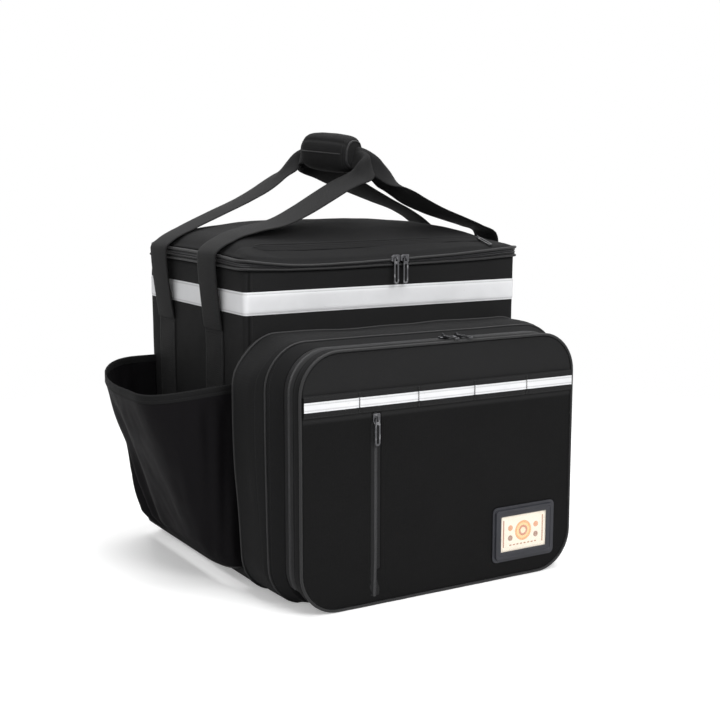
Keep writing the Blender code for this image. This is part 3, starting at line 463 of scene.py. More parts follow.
@dataclass(frozen=True)
class Hard(Finish):
    """A finish for a metal, moulded or stiff piece."""

    name: str
    kind: Sheen
    slot: str

    def paint(self, dye: Dye) -> None:
        """Colour a piece by the finish's kind."""
        getattr(self, "paint_" + self.kind.value)(dye, dye.solid_map())

    def paint_gunmetal(self, dye: Dye, place: Signal) -> None:
        """Dark plated zinc, with a cast skin and rubbed spots."""
        cast = dye.mottle(place, 900.0, 3.0)
        rub = dye.mottle(place, 170.0, 4.0).smooth(0.5, 0.74)
        dye.set(Base_Color=dye.tint(rub, (0.1, 0.1, 0.106), (0.3, 0.3, 0.31)))
        dye.set(Metallic=1.0, Roughness=0.22 + 0.14 * cast - 0.06 * rub)
        dye.relief(cast, 0.00004)

    def paint_moulded(self, dye: Dye, place: Signal) -> None:
        """Soft black PVC with a fine pebble."""
        pebble = dye.cells(place, 1500.0)
        cloud = dye.mottle(place, 60.0, 3.0)
        dye.set(Base_Color=dye.tint(cloud, (0.01, 0.011, 0.015), (0.026, 0.027, 0.034)))
        dye.set(Roughness=0.4 + 0.16 * cloud, Specular_IOR_Level=0.42)
        dye.relief(pebble + 0.4 * cloud, 0.00005)

    def paint_clear(self, dye: Dye, place: Signal) -> None:
        """Clear flexible sheet, slightly wavy."""
        wave = dye.mottle(place, 60.0, 2.0)
        dye.set(Base_Color=(1.0, 1.0, 1.0), Roughness=0.06, Specular_IOR_Level=0.5, Alpha=0.1)
        dye.relief(wave, 0.0003)

    def paint_board(self, dye: Dye, place: Signal) -> None:
        """Black stiffening board."""
        grain = dye.mottle(place, 300.0, 3.0)
        dye.set(Base_Color=dye.tint(grain, (0.03, 0.03, 0.03), (0.06, 0.06, 0.06)), Roughness=0.6)


@dataclass(frozen=True)
class Card(Finish):
    """A printed card: a cream ground with a plain pattern of warm rings and bars."""

    name: str = "card_print"
    slot: str = "printed_card"
    width: float = 0.0707

    def ring(self, x: Signal, z: Signal, centre: tuple[float, float], radius: float) -> Signal:
        """A filled round of a radius about a centre, as a mask."""
        dx, dz = x - centre[0], z - centre[1]
        return (dx * dx + dz * dz).math("SQRT").smooth(radius + 0.0002, radius - 0.0002)

    def paint(self, dye: Dye) -> None:
        """Print the card."""
        place = dye.solid_map()
        low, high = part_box("id_card")
        x = dye.split(place, 0) - (low.x + high.x) / 2
        z = dye.split(place, 2) - (low.z + high.z) / 2
        paper = dye.mottle(place, 700.0, 3.0)
        ink = dye.tint(paper, (0.86, 0.76, 0.6), (0.93, 0.85, 0.71))
        frame_line = abs(abs(x) - self.width * 0.4).smooth(0.0011, 0.0007) * abs(z).smooth(0.0162, 0.0158)
        ink = dye.tint(frame_line, ink, (0.42, 0.17, 0.06))
        inks = ((0.8, 0.36, 0.08), (0.9, 0.6, 0.22), (0.62, 0.2, 0.07), (0.88, 0.74, 0.5))
        for step, shade in enumerate(inks):
            ink = dye.tint(self.ring(x, z, (0.0, 0.001), 0.0118 - 0.0027 * step), ink, shade)
        for side in (-1, 1):
            ink = dye.tint(self.ring(x, z, (side * 0.0185, 0.006), 0.0034), ink, (0.72, 0.3, 0.1))
            ink = dye.tint(self.ring(x, z, (side * 0.0185, -0.006), 0.0034), ink, (0.34, 0.16, 0.08))
        bars = abs((x / 0.0052).fraction() - 0.5).smooth(0.32, 0.28) * abs(z + 0.0145).smooth(0.0009, 0.0006)
        ink = dye.tint(bars * abs(x).smooth(0.02, 0.0196), ink, (0.42, 0.17, 0.06))
        dye.set(Base_Color=ink, Roughness=0.45 + 0.1 * paper, Specular_IOR_Level=0.4)


OXFORD = Cloth("oxford_cloth", (0.009, 0.009, 0.0093))
# Lighter copies of the oxford's colour, painted light: the flap's face, and the walls and the grip, are
# coloured lighter than the same black cloth elsewhere, as if more light fell on them.
FACE_OXFORD_PAINTED_LIGHTER: Colour = (0.0145, 0.0145, 0.0148)
OXFORD_PAINTED_LIGHTER: Colour = (0.0125, 0.0125, 0.0128)
POCKET_CLOTH = Cloth(
    "pocket_cloth_fine",
    (0.005, 0.0046, 0.0053),
    *(Weave.PLAIN, 0.00055, 0.00012, 0.66, 0.05, 0.0),
    slot="pocket_cloth",
)
WEBBING = Cloth(
    "handle_webbing",
    (0.0095, 0.0095, 0.0098),
    *(Weave.WEBBING, 0.0011, 0.00022, 0.78, 0.12, 0.03),
    slot="black_webbing",
)
PIPING = Cloth(
    "piping_cloth",
    (0.0125, 0.0125, 0.013),
    *(Weave.PLAIN, 0.0005, 0.00012, 0.52, 0.26, 0.06),
    slot="black_piping",
)
ZIP_TAPE = Cloth(
    "zip_tape_cloth",
    (0.0085, 0.0085, 0.009),
    *(Weave.ZIP, 0.0007, 0.0002, 0.66, 0.18, 0.03),
    slot="zip_tape",
)
GUNMETAL = Hard("gunmetal_plating", Sheen.GUNMETAL, "zip_metal")
MOULDED = Hard("moulded_pvc", Sheen.MOULDED, "moulded_frame")
CLEAR = Hard("clear_sheet", Sheen.CLEAR, "clear_window")
BOARD = Hard("stiff_board", Sheen.BOARD, "base_board")
FOIL = Foil()
COIL = Coil("nylon_coil")


# Meshes

LEAST_RADIUS = 0.003


def smooth_step(value: Points, low: float, high: float) -> Points:
    """A soft step from 0 at low to 1 at high."""
    share = np.clip((value - low) / (high - low), 0, 1)
    return share * share * (3 - 2 * share)


def unevenness(points: Points, scale: float, seed: float, octaves: int = 2) -> Points:
    """Soft noise on places.

    Args:
        points: the places.
        scale: the size of one wave in metres.
        seed: picks the pattern.
        octaves: how many layers there are.

    Returns:
        Values from about -1 to 1, one for each place.
    """
    start = Vector((seed, 3.1 - seed, 0.7 * seed))
    flat = points.reshape(-1, 3)
    values = [noise.fractal(Vector(place) / scale + start, 1.0, 2.0, octaves) for place in flat]
    return np.array(values).reshape(points.shape[:-1])


def net(name: str, points: Points, wrap: bool = False, flip: bool = False) -> Item:
    """A sheet of quads through a table of points, with a map in metres.

    Args:
        name: its name.
        points: rows of columns of places, in the box's frame.
        wrap: whether the last column joins the first.
        flip: whether the faces are turned over.

    Returns:
        The new object, with smooth faces.
    """
    rows, columns, _ = points.shape
    spans = columns if wrap else columns - 1
    down, side = np.meshgrid(np.arange(rows - 1), np.arange(spans), indexing="ij")
    after = (side + 1) % columns
    upper, lower = down * columns, (down + 1) * columns
    corners = [upper + side, upper + after, lower + after, lower + side]
    order = (0, 3, 2, 1) if flip else (0, 1, 2, 3)
    faces = np.stack([corners[index] for index in order], -1).reshape(-1, 4)
    looped = np.concatenate([points, points[:, :1]], 1) if wrap else points
    across = np.concatenate([[0], np.linalg.norm(np.diff(looped, axis=1), axis=2).mean(0).cumsum()])
    along = np.concatenate([[0], np.linalg.norm(np.diff(points, axis=0), axis=2).mean(1).cumsum()])
    mesh = bpy.data.meshes.new(name)
    mesh.from_pydata((points + SHIFT).reshape(-1, 3).tolist(), [], faces.tolist())
    column = [side, side + 1, side + 1, side]
    row = [down, down, down + 1, down + 1]
    places = [np.stack([across[column[index]], along[row[index]]], -1) for index in order]
    layer = mesh.uv_layers.new(name="cloth")
    layer.uv.foreach_set("vector", np.stack(places, 2).astype(np.float32).ravel())
    mesh.shade_smooth()
    return place_item(name, mesh)


def place_item(name: str, data: object) -> Item:
    """Add an object to the scene."""
    item = bpy.data.objects.new(name, data)
    bpy.context.scene.collection.objects.link(item)
    return item


def settle(item: Item) -> Item:
    """Apply an object's modifiers to its mesh."""
    graph = bpy.context.evaluated_depsgraph_get()
    mesh = bpy.data.meshes.new_from_object(item.evaluated_get(graph))
    item.modifiers.clear()
    item.data = mesh
    return item


def thicken(item: Item, thickness: float, outward: float = -1.0) -> Item:
    """Give a sheet its thickness, on its inner side unless outward is 1."""
    shell = item.modifiers.new("thickness", "SOLIDIFY")
    shell.thickness = thickness
    shell.offset = outward
    shell.use_even_offset = False
    return settle(item)


def close_ends(item: Item, columns: int) -> None:
    """Close the first and the last row of a wrapped net with a face each."""
    shape = bmesh.new()
    shape.from_mesh(item.data)
    shape.verts.ensure_lookup_table()
    shape.faces.new(shape.verts[:columns][::-1])
    shape.faces.new(shape.verts[-columns:])
    bmesh.ops.recalc_face_normals(shape, faces=shape.faces)
    shape.to_mesh(item.data)
    shape.free()


def dress(item: Item, finish: Finish, body: str, *stands_for: str) -> None:
    """Give a piece its finish, its body and the solids that it stands for.

    Args:
        item: the piece.
        finish: its finish.
        body: the body that it rides on, or "" for a piece that rides on none.
        stands_for: the nodes that it takes the place of.
    """
    item.data.materials.clear()
    item.data.materials.append(finish.material())
    if stands_for:
        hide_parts(*stands_for)
    if body:
        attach(item, body)
    log.info("%s: %d faces", item.name, len(item.data.polygons))


@dataclass(frozen=True)
class Outline:
    """A rounded rectangle, walked anticlockwise from the middle of its top side."""

    width: float
    height: float
    radius: float
    across: int = 60
    down: int = 44
    corner: int = 8

    def walk(self) -> tuple[Points, Points]:
        """Points of the outline.

        Returns:
            The places and the outward normals, each a table of pairs.
        """
        half_w = self.width / 2 - self.radius
        half_h = self.height / 2 - self.radius
        places: list[Points] = []
        normals: list[Points] = []
        centres = np.array([(half_w, half_h), (-half_w, half_h), (-half_w, -half_h), (half_w, -half_h)])
        for side, steps in enumerate((self.across, self.down, self.across, self.down)):
            angle = math.pi / 2 * (side + 1)
            out = np.array((math.cos(angle), math.sin(angle)))
            first, last = centres[side] + self.radius * out, centres[side - 3] + self.radius * out
            for step in range(steps):
                places.append(first + (last - first) * step / steps)
                normals.append(out)
            for step in range(self.corner):
                turn = angle + math.pi / 2 * step / self.corner
                normals.append(np.array((math.cos(turn), math.sin(turn))))
                places.append(centres[side - 3] + self.radius * normals[-1])
        roll = -(self.across // 2)
        return np.roll(places, roll, axis=0), np.roll(normals, roll, axis=0)

    def inset(self, distance: float) -> "Outline":
        """The same outline drawn in by a distance."""
        size = {"width": self.width - 2 * distance, "height": self.height - 2 * distance}
        return replace(self, **size, radius=max(self.radius - distance, LEAST_RADIUS))

    def stand(self, depth: float, middle: float) -> tuple[Points, Points]:
        """Stand the outline up in front of the box.

        Args:
            depth: its distance in front of the box.
            middle: the height of its middle.

        Returns:
            Its places and outward normals, from the middle of its bottom.
        """
        places, normals = [np.roll(table, len(table) // 2, 0) for table in self.walk()]
        flat = np.column_stack([places[:, 0], np.full(len(places), -depth), places[:, 1] + middle])
        return flat, np.column_stack([normals[:, 0], np.zeros(len(places)), normals[:, 1]])


def sheet_rows(outline: Outline, rows: int, columns: int) -> Points:
    """A flat table of points that fills a rounded rectangle.

    Args:
        outline: the shape to fill.
        rows: how many rows.
        columns: how many columns.

    Returns:
        A table of pairs, from the lower left to the upper right.
    """
    turn = np.linspace(-math.pi / 2, math.pi / 2, rows)
    heights = np.sin(turn) * outline.height / 2
    flat = np.linspace(-1, 1, rows) * outline.height / 2
    heights = 0.25 * heights + 0.75 * flat
    over = np.clip(np.abs(heights) - (outline.height / 2 - outline.radius), 0, outline.radius)
    half = outline.width / 2 - outline.radius + np.sqrt(np.maximum(outline.radius**2 - over**2, 0))
    share = np.linspace(-1, 1, columns)
    return np.stack([half[:, None] * share[None], np.repeat(heights[:, None], columns, 1)], -1)


def tube(name: str, path: Points, radius: float, closed: bool = True, sides: int = 10) -> Item:
    """A round cord along a path.

    Args:
        name: its name.
        path: its centre line.
        radius: its radius, one number or one for each point.
        closed: whether the path closes on itself.
        sides: how many faces go round it.

    Returns:
        The new object.
    """
    if closed:
        runs = np.roll(path, -1, 0) - np.roll(path, 1, 0)
    else:
        runs = np.gradient(path, axis=0)
    runs /= np.linalg.norm(runs, axis=1)[:, None]
    up = np.array((0.0, 0.0, 1.0)) if np.abs(runs[:, 2]).max() < 0.9 else np.array((0.0, 1.0, 0.0))
    side = np.cross(runs, up)
    side /= np.linalg.norm(side, axis=1)[:, None]
    top = np.cross(side, runs)
    angles = np.linspace(0, 2 * math.pi, sides, endpoint=False)
    rings = path[:, None] + radius * (
        side[:, None] * np.cos(angles)[None, :, None] + top[:, None] * np.sin(angles)[None, :, None]
    )
    if closed:
        rings = np.concatenate([rings, rings[:1]], 0)
    return net(name, rings, wrap=True)


# The box


@dataclass
class Box:
    """The insulated box: cloth walls, the reflective band, the rim and the linings.

    Attributes:
        foot_round, foot_rise: how far the lower edge is drawn in, and up to what height.
        front_sag: places along the front and how far the lid's edge is raised there.
        side_sag, rest_sag: the same along the left side, and for shares of the other two sides.
        corner_out, corner_reach: how far the lid's front right corner hangs over, and how much of the edge.
        tip_round: how far the tips of the lid's corners are drawn in.
    """

    width: float = 0.37
    depth: float = 0.2775
    wall_top: float = 0.36
    corner: float = 0.006
    foot_round: float = 0.026
    foot_rise: float = 0.02
    piping_outset: float = 0.0025
    chain_outset: float = 0.0015
    band_foot: float = 0.3102
    band_width: float = 0.0256
    lining_inset: float = 0.0105
    front_sag: Table = (
        (-0.185, -0.163, -0.135, -0.103, -0.05, 0.0125, 0.06, 0.0915, 0.15, 0.17, 0.185),
        (-0.002, -0.006, -0.008, -0.0088, -0.0082, -0.0062, -0.0045, -0.003, 0.0008, 0.0024, 0.0036),
    )
    side_sag: Table = (
        (0.0, 0.03, 0.08, 0.2, 0.255, 0.2775),
        (-0.002, 0.0, 0.0018, 0.003, 0.0042, 0.006),
    )
    rest_sag: Table = (
        (0.0, 0.06, 0.2, 0.5, 0.8, 0.94, 1.0),
        (0.004, 0.0025, 0.0, -0.0015, 0.0, 0.0025, 0.004),
    )
    corner_out: float = 0.0074
    tip_round: float = 0.0042
    corner_reach: float = 0.045

    def outline(self, inset: float = 0.0) -> Outline:
        """The box in plan, drawn in by a distance."""
        return Outline(self.width, self.depth, self.corner).inset(inset)

    def lay(self, places: Points, z: float) -> Points:
        """Places of the plan at a height."""
        return np.column_stack([places[:, 0], places[:, 1] + self.depth / 2, np.full(len(places), z)])

    def raise_rim(self, points: Points) -> Points:
        """Move what lies near the rim as the soft lid's edge does: up at its corners, down at its front."""
        x, y, z = points[..., 0], points[..., 1], points[..., 2]
        across, back = x / self.width + 0.5, y / self.depth
        edges = (
            (y, np.interp(x, *self.front_sag)),
            (x + self.width / 2, np.interp(y, *self.side_sag)),
            (self.depth - y, np.interp(across, *self.rest_sag)),
            (self.width / 2 - x, np.interp(back, *self.rest_sag)),
        )
        weights = [np.exp(-((np.maximum(away, 0) / 0.032) ** 2)) for away, _ in edges]
        total = sum(weight * rise for weight, (_, rise) in zip(weights, edges)) / np.maximum(sum(weights), 1)
        share = 0.35 * smooth_step(z, 0.338, 0.36) + 0.65 * smooth_step(z, 0.3622, 0.3716)
        raised = points.copy()
        raised[..., 2] += total * share
        corner = np.exp(-((np.hypot(x - self.width / 2, y) / self.corner_reach) ** 2)) * share
        nearest = np.hypot(self.width / 2 - np.abs(x), np.minimum(y, self.depth - y))
        tip = self.tip_round * np.exp(-((nearest / 0.011) ** 2)) * share
        raised[..., 0] += self.corner_out * corner - tip * np.sign(x)
        raised[..., 1] -= tip * np.sign(y - self.depth / 2)
        raised[..., 2] -= 0.5 * corner * (z - 0.3692)
        return raised

    def wall_ripple(self, points: Points) -> Points:
        """How far the cloth of the walls stands off, at places on the walls."""
        calm = 1 - smooth_step(points[..., 2], self.wall_top - 0.02, self.wall_top)
        calm = calm * smooth_step(points[..., 2], 0.004, 0.04)
        wave = 0.0008 * unevenness(points, 0.11, 2.0) + 0.00045 * unevenness(points, 0.034, 5.0)
        return (wave - 0.0004) * calm

    def foot_inset(self, z: float) -> float:
        """How far the cloth is drawn in at a height near the ground."""
        share = min(max(1 - z / self.foot_rise, 0.0), 1.0)
        return self.foot_round * (1 - math.sqrt(1 - share * share))

    def wall(self, levels: Sequence[float], outset: float) -> Points:
        """Rows of places round the box.

        Args:
            levels: the heights of the rows.
            outset: how far outside the cloth they lie.

        Returns:
            A table of places that wraps round.
        """
        rows = []
        for z in levels:
            places, normals = self.outline(self.foot_inset(z)).walk()
            rows.append(self.lay(places, z))
            rows[-1][:, :2] += normals * (self.wall_ripple(rows[-1]) + outset)[:, None]
        return self.raise_rim(np.array(rows))

    def ring(self, steps: Pairs) -> Points:
        """Rows round the box through pairs of inset and height."""
        return self.raise_rim(np.array([self.lay(self.outline(inset).walk()[0], z) for inset, z in steps]))

    def corners_along(self) -> list[float]:
        """Distances round the outline, from the middle of the back, of the four upright seams."""
        wide, deep = self.width - 2 * self.corner, self.depth - 2 * self.corner
        arc = math.pi / 2 * self.corner
        straight = (wide / 2, wide / 2 + deep, 1.5 * wide + deep, 1.5 * wide + 2 * deep)
        return [run + (turn + 0.5) * arc for turn, run in enumerate(straight)]

    def build_walls(self) -> None:
        """Cloth of the four walls, with pressed seams at the corners."""
        foot = self.foot_rise * (1 - np.cos(np.linspace(0.0, math.pi / 2, 9)))
        levels = np.concatenate([foot, np.linspace(0.026, self.wall_top, 68)])
        rows = [row for at in self.corners_along() for row in (Row(at, True, True), Row(at + 0.0036, True))]
        walls = net("box_walls", self.wall(levels, 0.0), wrap=True)
        thicken(walls, 0.0012)
        # Painted light: the walls use a lighter copy of the oxford's colour.
        finish = replace(OXFORD.with_rows("oxford_walls", *rows), colour=OXFORD_PAINTED_LIGHTER)
        dress(walls, finish, "bag", "body_shell")

    def build_base(self) -> None:
        """The bottom panel, sewn in with a bound seam."""
        flat = sheet_rows(self.outline(self.foot_round), 60, 70)
        points = np.concatenate([flat, np.zeros((*flat.shape[:2], 1))], -1)
        points[..., 1] += self.depth / 2
        points[..., 2] = 0.0004 + 0.0005 * (1 + unevenness(points, 0.07, 9.0))
        wide, deep = self.width - 2 * self.foot_round, self.depth - 2 * self.foot_round
        rows = [Row(0.008, True), Row(wide - 0.008, True), Row(0.008), Row(deep - 0.008)]
        base = net("base_cloth", points, flip=True)
        dress(base, OXFORD.with_rows("oxford_base", *rows), "bag")
        path = self.lay(self.outline(self.foot_round - 0.002).walk()[0], 0.0012)
        dress(tube("base_seam", path, 0.0011), PIPING, "bag")

    def build_band(self) -> None:
        """Reflective tape round the upper walls."""
        levels = np.linspace(self.band_foot, self.band_foot + self.band_width, 9)
        points = self.wall(levels, 0.0007)
        points[[0, -1]] = self.wall(levels[[0, -1]], 0.0001)
        band = net("reflective_band_tape", points, wrap=True)
        dress(band, ReflectiveTape("band_tape", self.band_width), "bag", "reflective_band")

    def build_rim(self) -> None:
        """Piping on the rim and the binding that covers the foam's edge."""
        path = self.lay(self.outline(-self.piping_outset).walk()[0], 0.3618)
        path[:, 2] += 0.0003 * unevenness(path, 0.05, 11.0)
        dress(tube("rim_piping_cord", self.raise_rim(path), 0.0015), PIPING, "bag", "rim_piping")
        steps = [(-0.0024, 0.3606), (-0.0004, 0.3602), (0.0004, 0.3612), (0.002, 0.3606), (0.005, 0.36)]
        steps += [(0.0085, 0.3592), (0.0106, 0.3578), (0.0112, 0.3545), (0.0112, 0.347)]
        binding = net("rim_binding", self.ring(steps), wrap=True)
        dress(thicken(binding, 0.0005), OXFORD.with_rows("oxford_binding", Row(0.0028)), "bag")

    def build_lining(self) -> None:
        """Foil walls and floor inside the box."""
        inset = self.lining_inset
        levels = np.concatenate([[0.0136, 0.015, 0.0185], np.linspace(0.026, 0.3535, 60)])
        places, normals = self.outline(inset).walk()
        points = np.array([self.lay(places, z) for z in levels])
        calm = smooth_step(points[..., 2], 0.016, 0.05) * (1 - smooth_step(points[..., 2], 0.33, 0.352))
        push = (0.0016 * unevenness(points, 0.1, 21.0, 3) + 0.001) * calm
        points[..., :2] -= normals[None] * np.clip(push, 0, 1)[..., None]
        points[0, :, :2] -= normals * 0.004
        walls = net("foil_walls", points, wrap=True, flip=True)
        foams = [side + "_foam" for side in ("front", "back", "left", "right", "base")]
        dress(walls, FOIL, "bag", "foil_liner", *foams)
        flat = sheet_rows(self.outline(inset + 0.0035), 44, 56)
        floor = np.concatenate([flat, np.full((*flat.shape[:2], 1), 0.0136)], -1)
        floor[..., 1] += self.depth / 2
        floor[..., 2] += 0.0008 * np.clip(unevenness(floor, 0.08, 23.0, 3), 0, 1)
        dress(net("foil_floor", floor), FOIL, "bag")

    def build(self) -> None:
        """Build every piece of the box."""
        self.build_walls()
        self.build_base()
        self.build_band()
        self.build_rim()
        self.build_lining()


# Zips


@dataclass
class ZipHalf:
    """One half of a zip: a tape that ends in a coil.

    Attributes:
        name: the start of its pieces' names.
        length: from the tape's sewn edge to the coil's far edge.
        tape, coil: their thicknesses.
        coil_rise: the coil's width.
    """

    name: str
    length: float
    tape: float = 0.001
    coil: float = 0.0022
    coil_rise: float = 0.0018

    def section(self) -> tuple[list[tuple[float, float]], list[tuple[float, float]]]:
        """Pairs of run and offset, for the tape and then for the coil."""
        turn, half = self.length - self.coil_rise, self.tape / 2
        tape = [(share * turn, half) for share in (0.0, 0.3, 0.7, 1.0)] + [(turn, -half), (0.0, -half)]
        middle, radius = self.length - self.coil_rise / 2, self.coil_rise / 2
        angles = [2 * math.pi * step / 8 for step in range(9)]
        return tape, [(middle - radius * math.cos(turn), self.coil / 2 * math.sin(turn)) for turn in angles]

    def build(self, place: Callable[[float, float], Points], body: str, node: str) -> None:
        """Build the tape and its coil.

        Args:
            place: gives the row of places for a run and an offset.
            body: the body that they ride on.
            node: the node that the tape takes the place of.
        """
        tape, coil = [np.array([place(*pair) for pair in pairs]) for pairs in self.section()]
        flat_zip(self.name, np.swapaxes(tape, 0, 1), coil, body, node)


def mirrored(*pairs: tuple[float, float]) -> Pairs:
    """A profile from its pairs of run and height on one side, the last of them in the middle."""
    return [(-run, height) for run, height in pairs] + [*pairs[-2::-1]]


def flat_zip(name: str, tape: Points, coil: Points, body: str, node: str) -> None:
    """Dress a zip's tape and coil."""
    dress(net(name + "_tape", tape), ZIP_TAPE, body, node)
    dress(net(name + "_coil", np.swapaxes(coil, 0, 1)), COIL, body)


# The lid


@dataclass
class Lid:
    """The domed lid: padded cloth, its piping, the flat pocket's zip, the big zip and the foil.

    Attributes:
        box: the box that it closes.
        rise: how far its middle stands over its edge.
        zip_y: where the flat pocket's zip lies, from the front.
        zip_half: half the length of that zip.
        setback: where the big zip ends, from the back.
        near: steps over which the shares are averaged, to round them.
        welt: distances from that zip's middle and heights over the cloth, across one turned edge.
    """

    box: Box
    edge_z: float = 0.3723
    rise: float = 0.036
    zip_y: float = 0.0326
    zip_half: float = 0.158
    setback: float = 0.018
    side_shares: Floats = (0.0, 0.02, 0.045, 0.07, 0.14, 0.28, 0.46, 0.66, 1.0)
    depth_shares: Floats = (0.0, 0.09, 0.19, 0.28, 0.42, 0.58, 0.76, 0.92, 1.0)
    rear_shares: Floats = (0.0, 0.05, 0.11, 0.17, 0.26, 0.4, 0.58, 0.8, 1.0)
    rise_shares: Floats = (0.0, 0.12, 0.235, 0.345, 0.53, 0.73, 0.9, 1.0, 1.0)
    near: Floats = (-0.03, -0.015, 0, 0.015, 0.03)
    welt: tuple[tuple[float, float], ...] = (
        *((0.0006, 0.0018), (0.001, 0.0027), (0.0024, 0.0031)),
        *((0.0042, 0.0027), (0.0064, 0.0016), (0.0095, 0.0004)),
    )

    def height(self, x: Points, y: Points) -> Points:
        """The lid's height over its edge at places in plan."""
        side = 1 - np.abs(x) / (self.box.width / 2)
        depth = 1 - np.abs(y - self.box.depth / 2) / (self.box.depth / 2)
        tables = [self.side_shares, self.depth_shares, self.rear_shares]
        rises = []
        for share, table in zip((side, depth, depth), tables):
            near = [np.interp(share + step, table, self.rise_shares) for step in self.near]
            rises.append(np.mean(near, axis=0))
        rises[1] = rises[1] + 0.1 * smooth_step(depth, 0.0, 0.05) * (1 - smooth_step(depth, 0.1, 0.4))
        behind = smooth_step(y, self.box.depth * 0.4, self.box.depth * 0.6)
        ends = rises[1] * (1 - behind) + rises[2] * behind
        soft = 0.05
        least = -soft * np.log(np.exp(-rises[0] / soft) + np.exp(-ends / soft))
        return self.rise * np.clip(least + 0.01, 0, 1.2)

    def top(self, x: float, y: float) -> float:
        """The height of the lid's cloth at a place in plan, or 0 beside the box."""
        if abs(x) > self.box.width / 2 or not 0 < y < self.box.depth:
            return 0.0
        flat = np.array([[x, y, self.edge_z + float(self.height(np.array(x), np.array(y)))]])
        return float(self.box.raise_rim(flat)[0, 2])

    def surface(self, inset: float, drop: float, rows: int = 90, columns: int = 116) -> Points:
        """A sheet over the lid, drawn in and lowered."""
        flat = sheet_rows(self.box.outline(inset), rows, columns)
        x = flat[..., 0]
        y = flat[..., 1] + self.box.depth / 2
        points = np.stack([x, y, self.edge_z - drop + self.height(x, y)], -1)
        return self.box.raise_rim(points)

    def build_cover(self) -> None:
        """Padded cloth over the foam, with its soft dents and its bound underside."""
        points = self.surface(-0.0007, 0.0)
        inner = smooth_step(self.height(points[..., 0], points[..., 1]), 0.001, 0.012)
        dents = 0.0014 * unevenness(points, 0.12, 31.0) + 0.0005 * unevenness(points, 0.035, 33.0)
        crease = np.exp(-(((points[..., 1] - self.zip_y - 0.0045) / 0.0035) ** 2)) * 0.0008
        points[..., 2] += (dents - crease) * inner
        rows = [Row(self.zip_y + 0.0062, start=0.02, end=0.34)]
        cover = net("lid_cover", points)
        dress(thicken(cover, 0.0012), OXFORD.with_rows("oxford_lid", *rows), "lid", "lid_panel", "lid_foam")
        steps = [(-0.001, 0.3722), (0.0, 0.3711), (0.001, 0.3698), (0.0024, 0.366), (0.0034, 0.363)]
        steps += [(0.0046, 0.3617), (0.008, 0.3613), (0.013, 0.3616)]
        binding = net("lid_binding", self.box.ring(steps), wrap=True, flip=True)
        dress(binding, OXFORD.with_rows("oxford_lid_binding", Row(0.015)), "lid")

    def build_foil(self) -> None:
        """Foil under the lid."""
        points = self.surface(0.006, 0.0106, 60, 80)
        points[..., 2] += 0.0008 * unevenness(points, 0.08, 41.0, 3)
        dress(net("lid_foil", points, flip=True), FOIL, "lid", "lid_liner")

    def build_piping(self) -> None:
        """Piping round the lid's edge."""
        path = self.box.lay(self.box.outline(-self.box.piping_outset).walk()[0], 0.3717)
        path[:, 2] += 0.0004 * unevenness(path, 0.06, 51.0)
        dress(tube("lid_piping_cord", self.box.raise_rim(path), 0.0017), PIPING, "lid", "lid_piping")

    def build_big_zip(self) -> None:
        """Both halves of the zip that runs round three sides."""
        places, normals = self.box.outline(-self.box.chain_outset).walk()
        y = places[:, 1] + self.box.depth / 2
        kept = np.nonzero(y < self.box.depth - self.setback)[0]
        for name, foot, way, body, node in (
            ("rim_zip", 0.3636, 1, "bag", "rim_zip_tape"),
            ("lid_zip", 0.3699, -1, "lid", "lid_zip_tape"),
        ):

            def row(run: float, offset: float, foot: float = foot, way: int = way) -> Points:
                """Places along this half, at a run from its foot and an offset from the wall."""
                flat = places[kept] + normals[kept] * offset
                return self.box.raise_rim(self.box.lay(flat, foot + way * run))

            ZipHalf(name, 0.003).build(row, body, node)

    def build_hinge(self) -> None:
        """The hinge cloth behind the lid, between the two ends of the zip, built in its closed shape."""
        places, normals = self.box.outline(-0.002).walk()
        y = places[:, 1] + self.box.depth / 2
        back = np.roll(np.arange(len(places)), len(places) // 2)
        kept = back[y[back] > self.box.depth - self.setback - 0.002]
        rows = []
        for share in np.linspace(0, 1, 9):
            z = 0.3612 + share * (0.3722 - 0.3612)
            rows.append(self.box.lay(places[kept] - normals[kept] * 0.0008 * math.sin(math.pi * share), z))
        strip = net("lid_hinge_cloth", self.box.raise_rim(np.array(rows)))
        thicken(strip, 0.0008, 0.0)
        dress(strip, OXFORD, "", "lid_hinge_strip")
        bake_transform(strip)

    def build_pocket_zip(self) -> None:
        """The zip of the flat pocket across the lid, between two turned edges of cloth."""
        x = np.sin(np.linspace(-math.pi / 2, math.pi / 2, 130)) * self.zip_half
        taper = np.clip((self.zip_half - np.abs(x)) / 0.012, 0.02, 1) ** 0.5

        def strip(run: Pairs) -> Points:
            """Rows of places at distances from the zip's middle and heights over the cloth."""
            rows = []
            for away, up in run:
                y = self.zip_y + away * taper
                row = np.column_stack([x, y, self.edge_z + self.height(x, y) + up * taper])
                rows.append(self.box.raise_rim(row))
            return np.array(rows)

        tape = strip(mirrored((0.004, 0.001), (0.002, 0.0012), (0.0, 0.0013)))
        coil = strip(mirrored((0.0018, 0.0012), (0.0009, 0.0018), (0.0, 0.002)))
        flat_zip("lid_pocket", tape, coil, "lid", "lid_pocket_zip")
        for name, way in (("front", -1), ("rear", 1)):
            points = strip([(way * away, up) for away, up in self.welt])
            points[..., 2] += 0.0002 * unevenness(points, 0.03, 61.0 + way)
            edge = net("lid_pocket_welt_" + name, points, flip=way < 0)
            dress(edge, OXFORD.with_rows("oxford_welt", Row(0.0052)), "lid")

    def build(self) -> None:
        """Build every piece of the lid."""
        self.build_cover()
        self.build_foil()
        self.build_piping()
        self.build_big_zip()
        self.build_hinge()
        self.build_pocket_zip()


# The front compartment and its flap


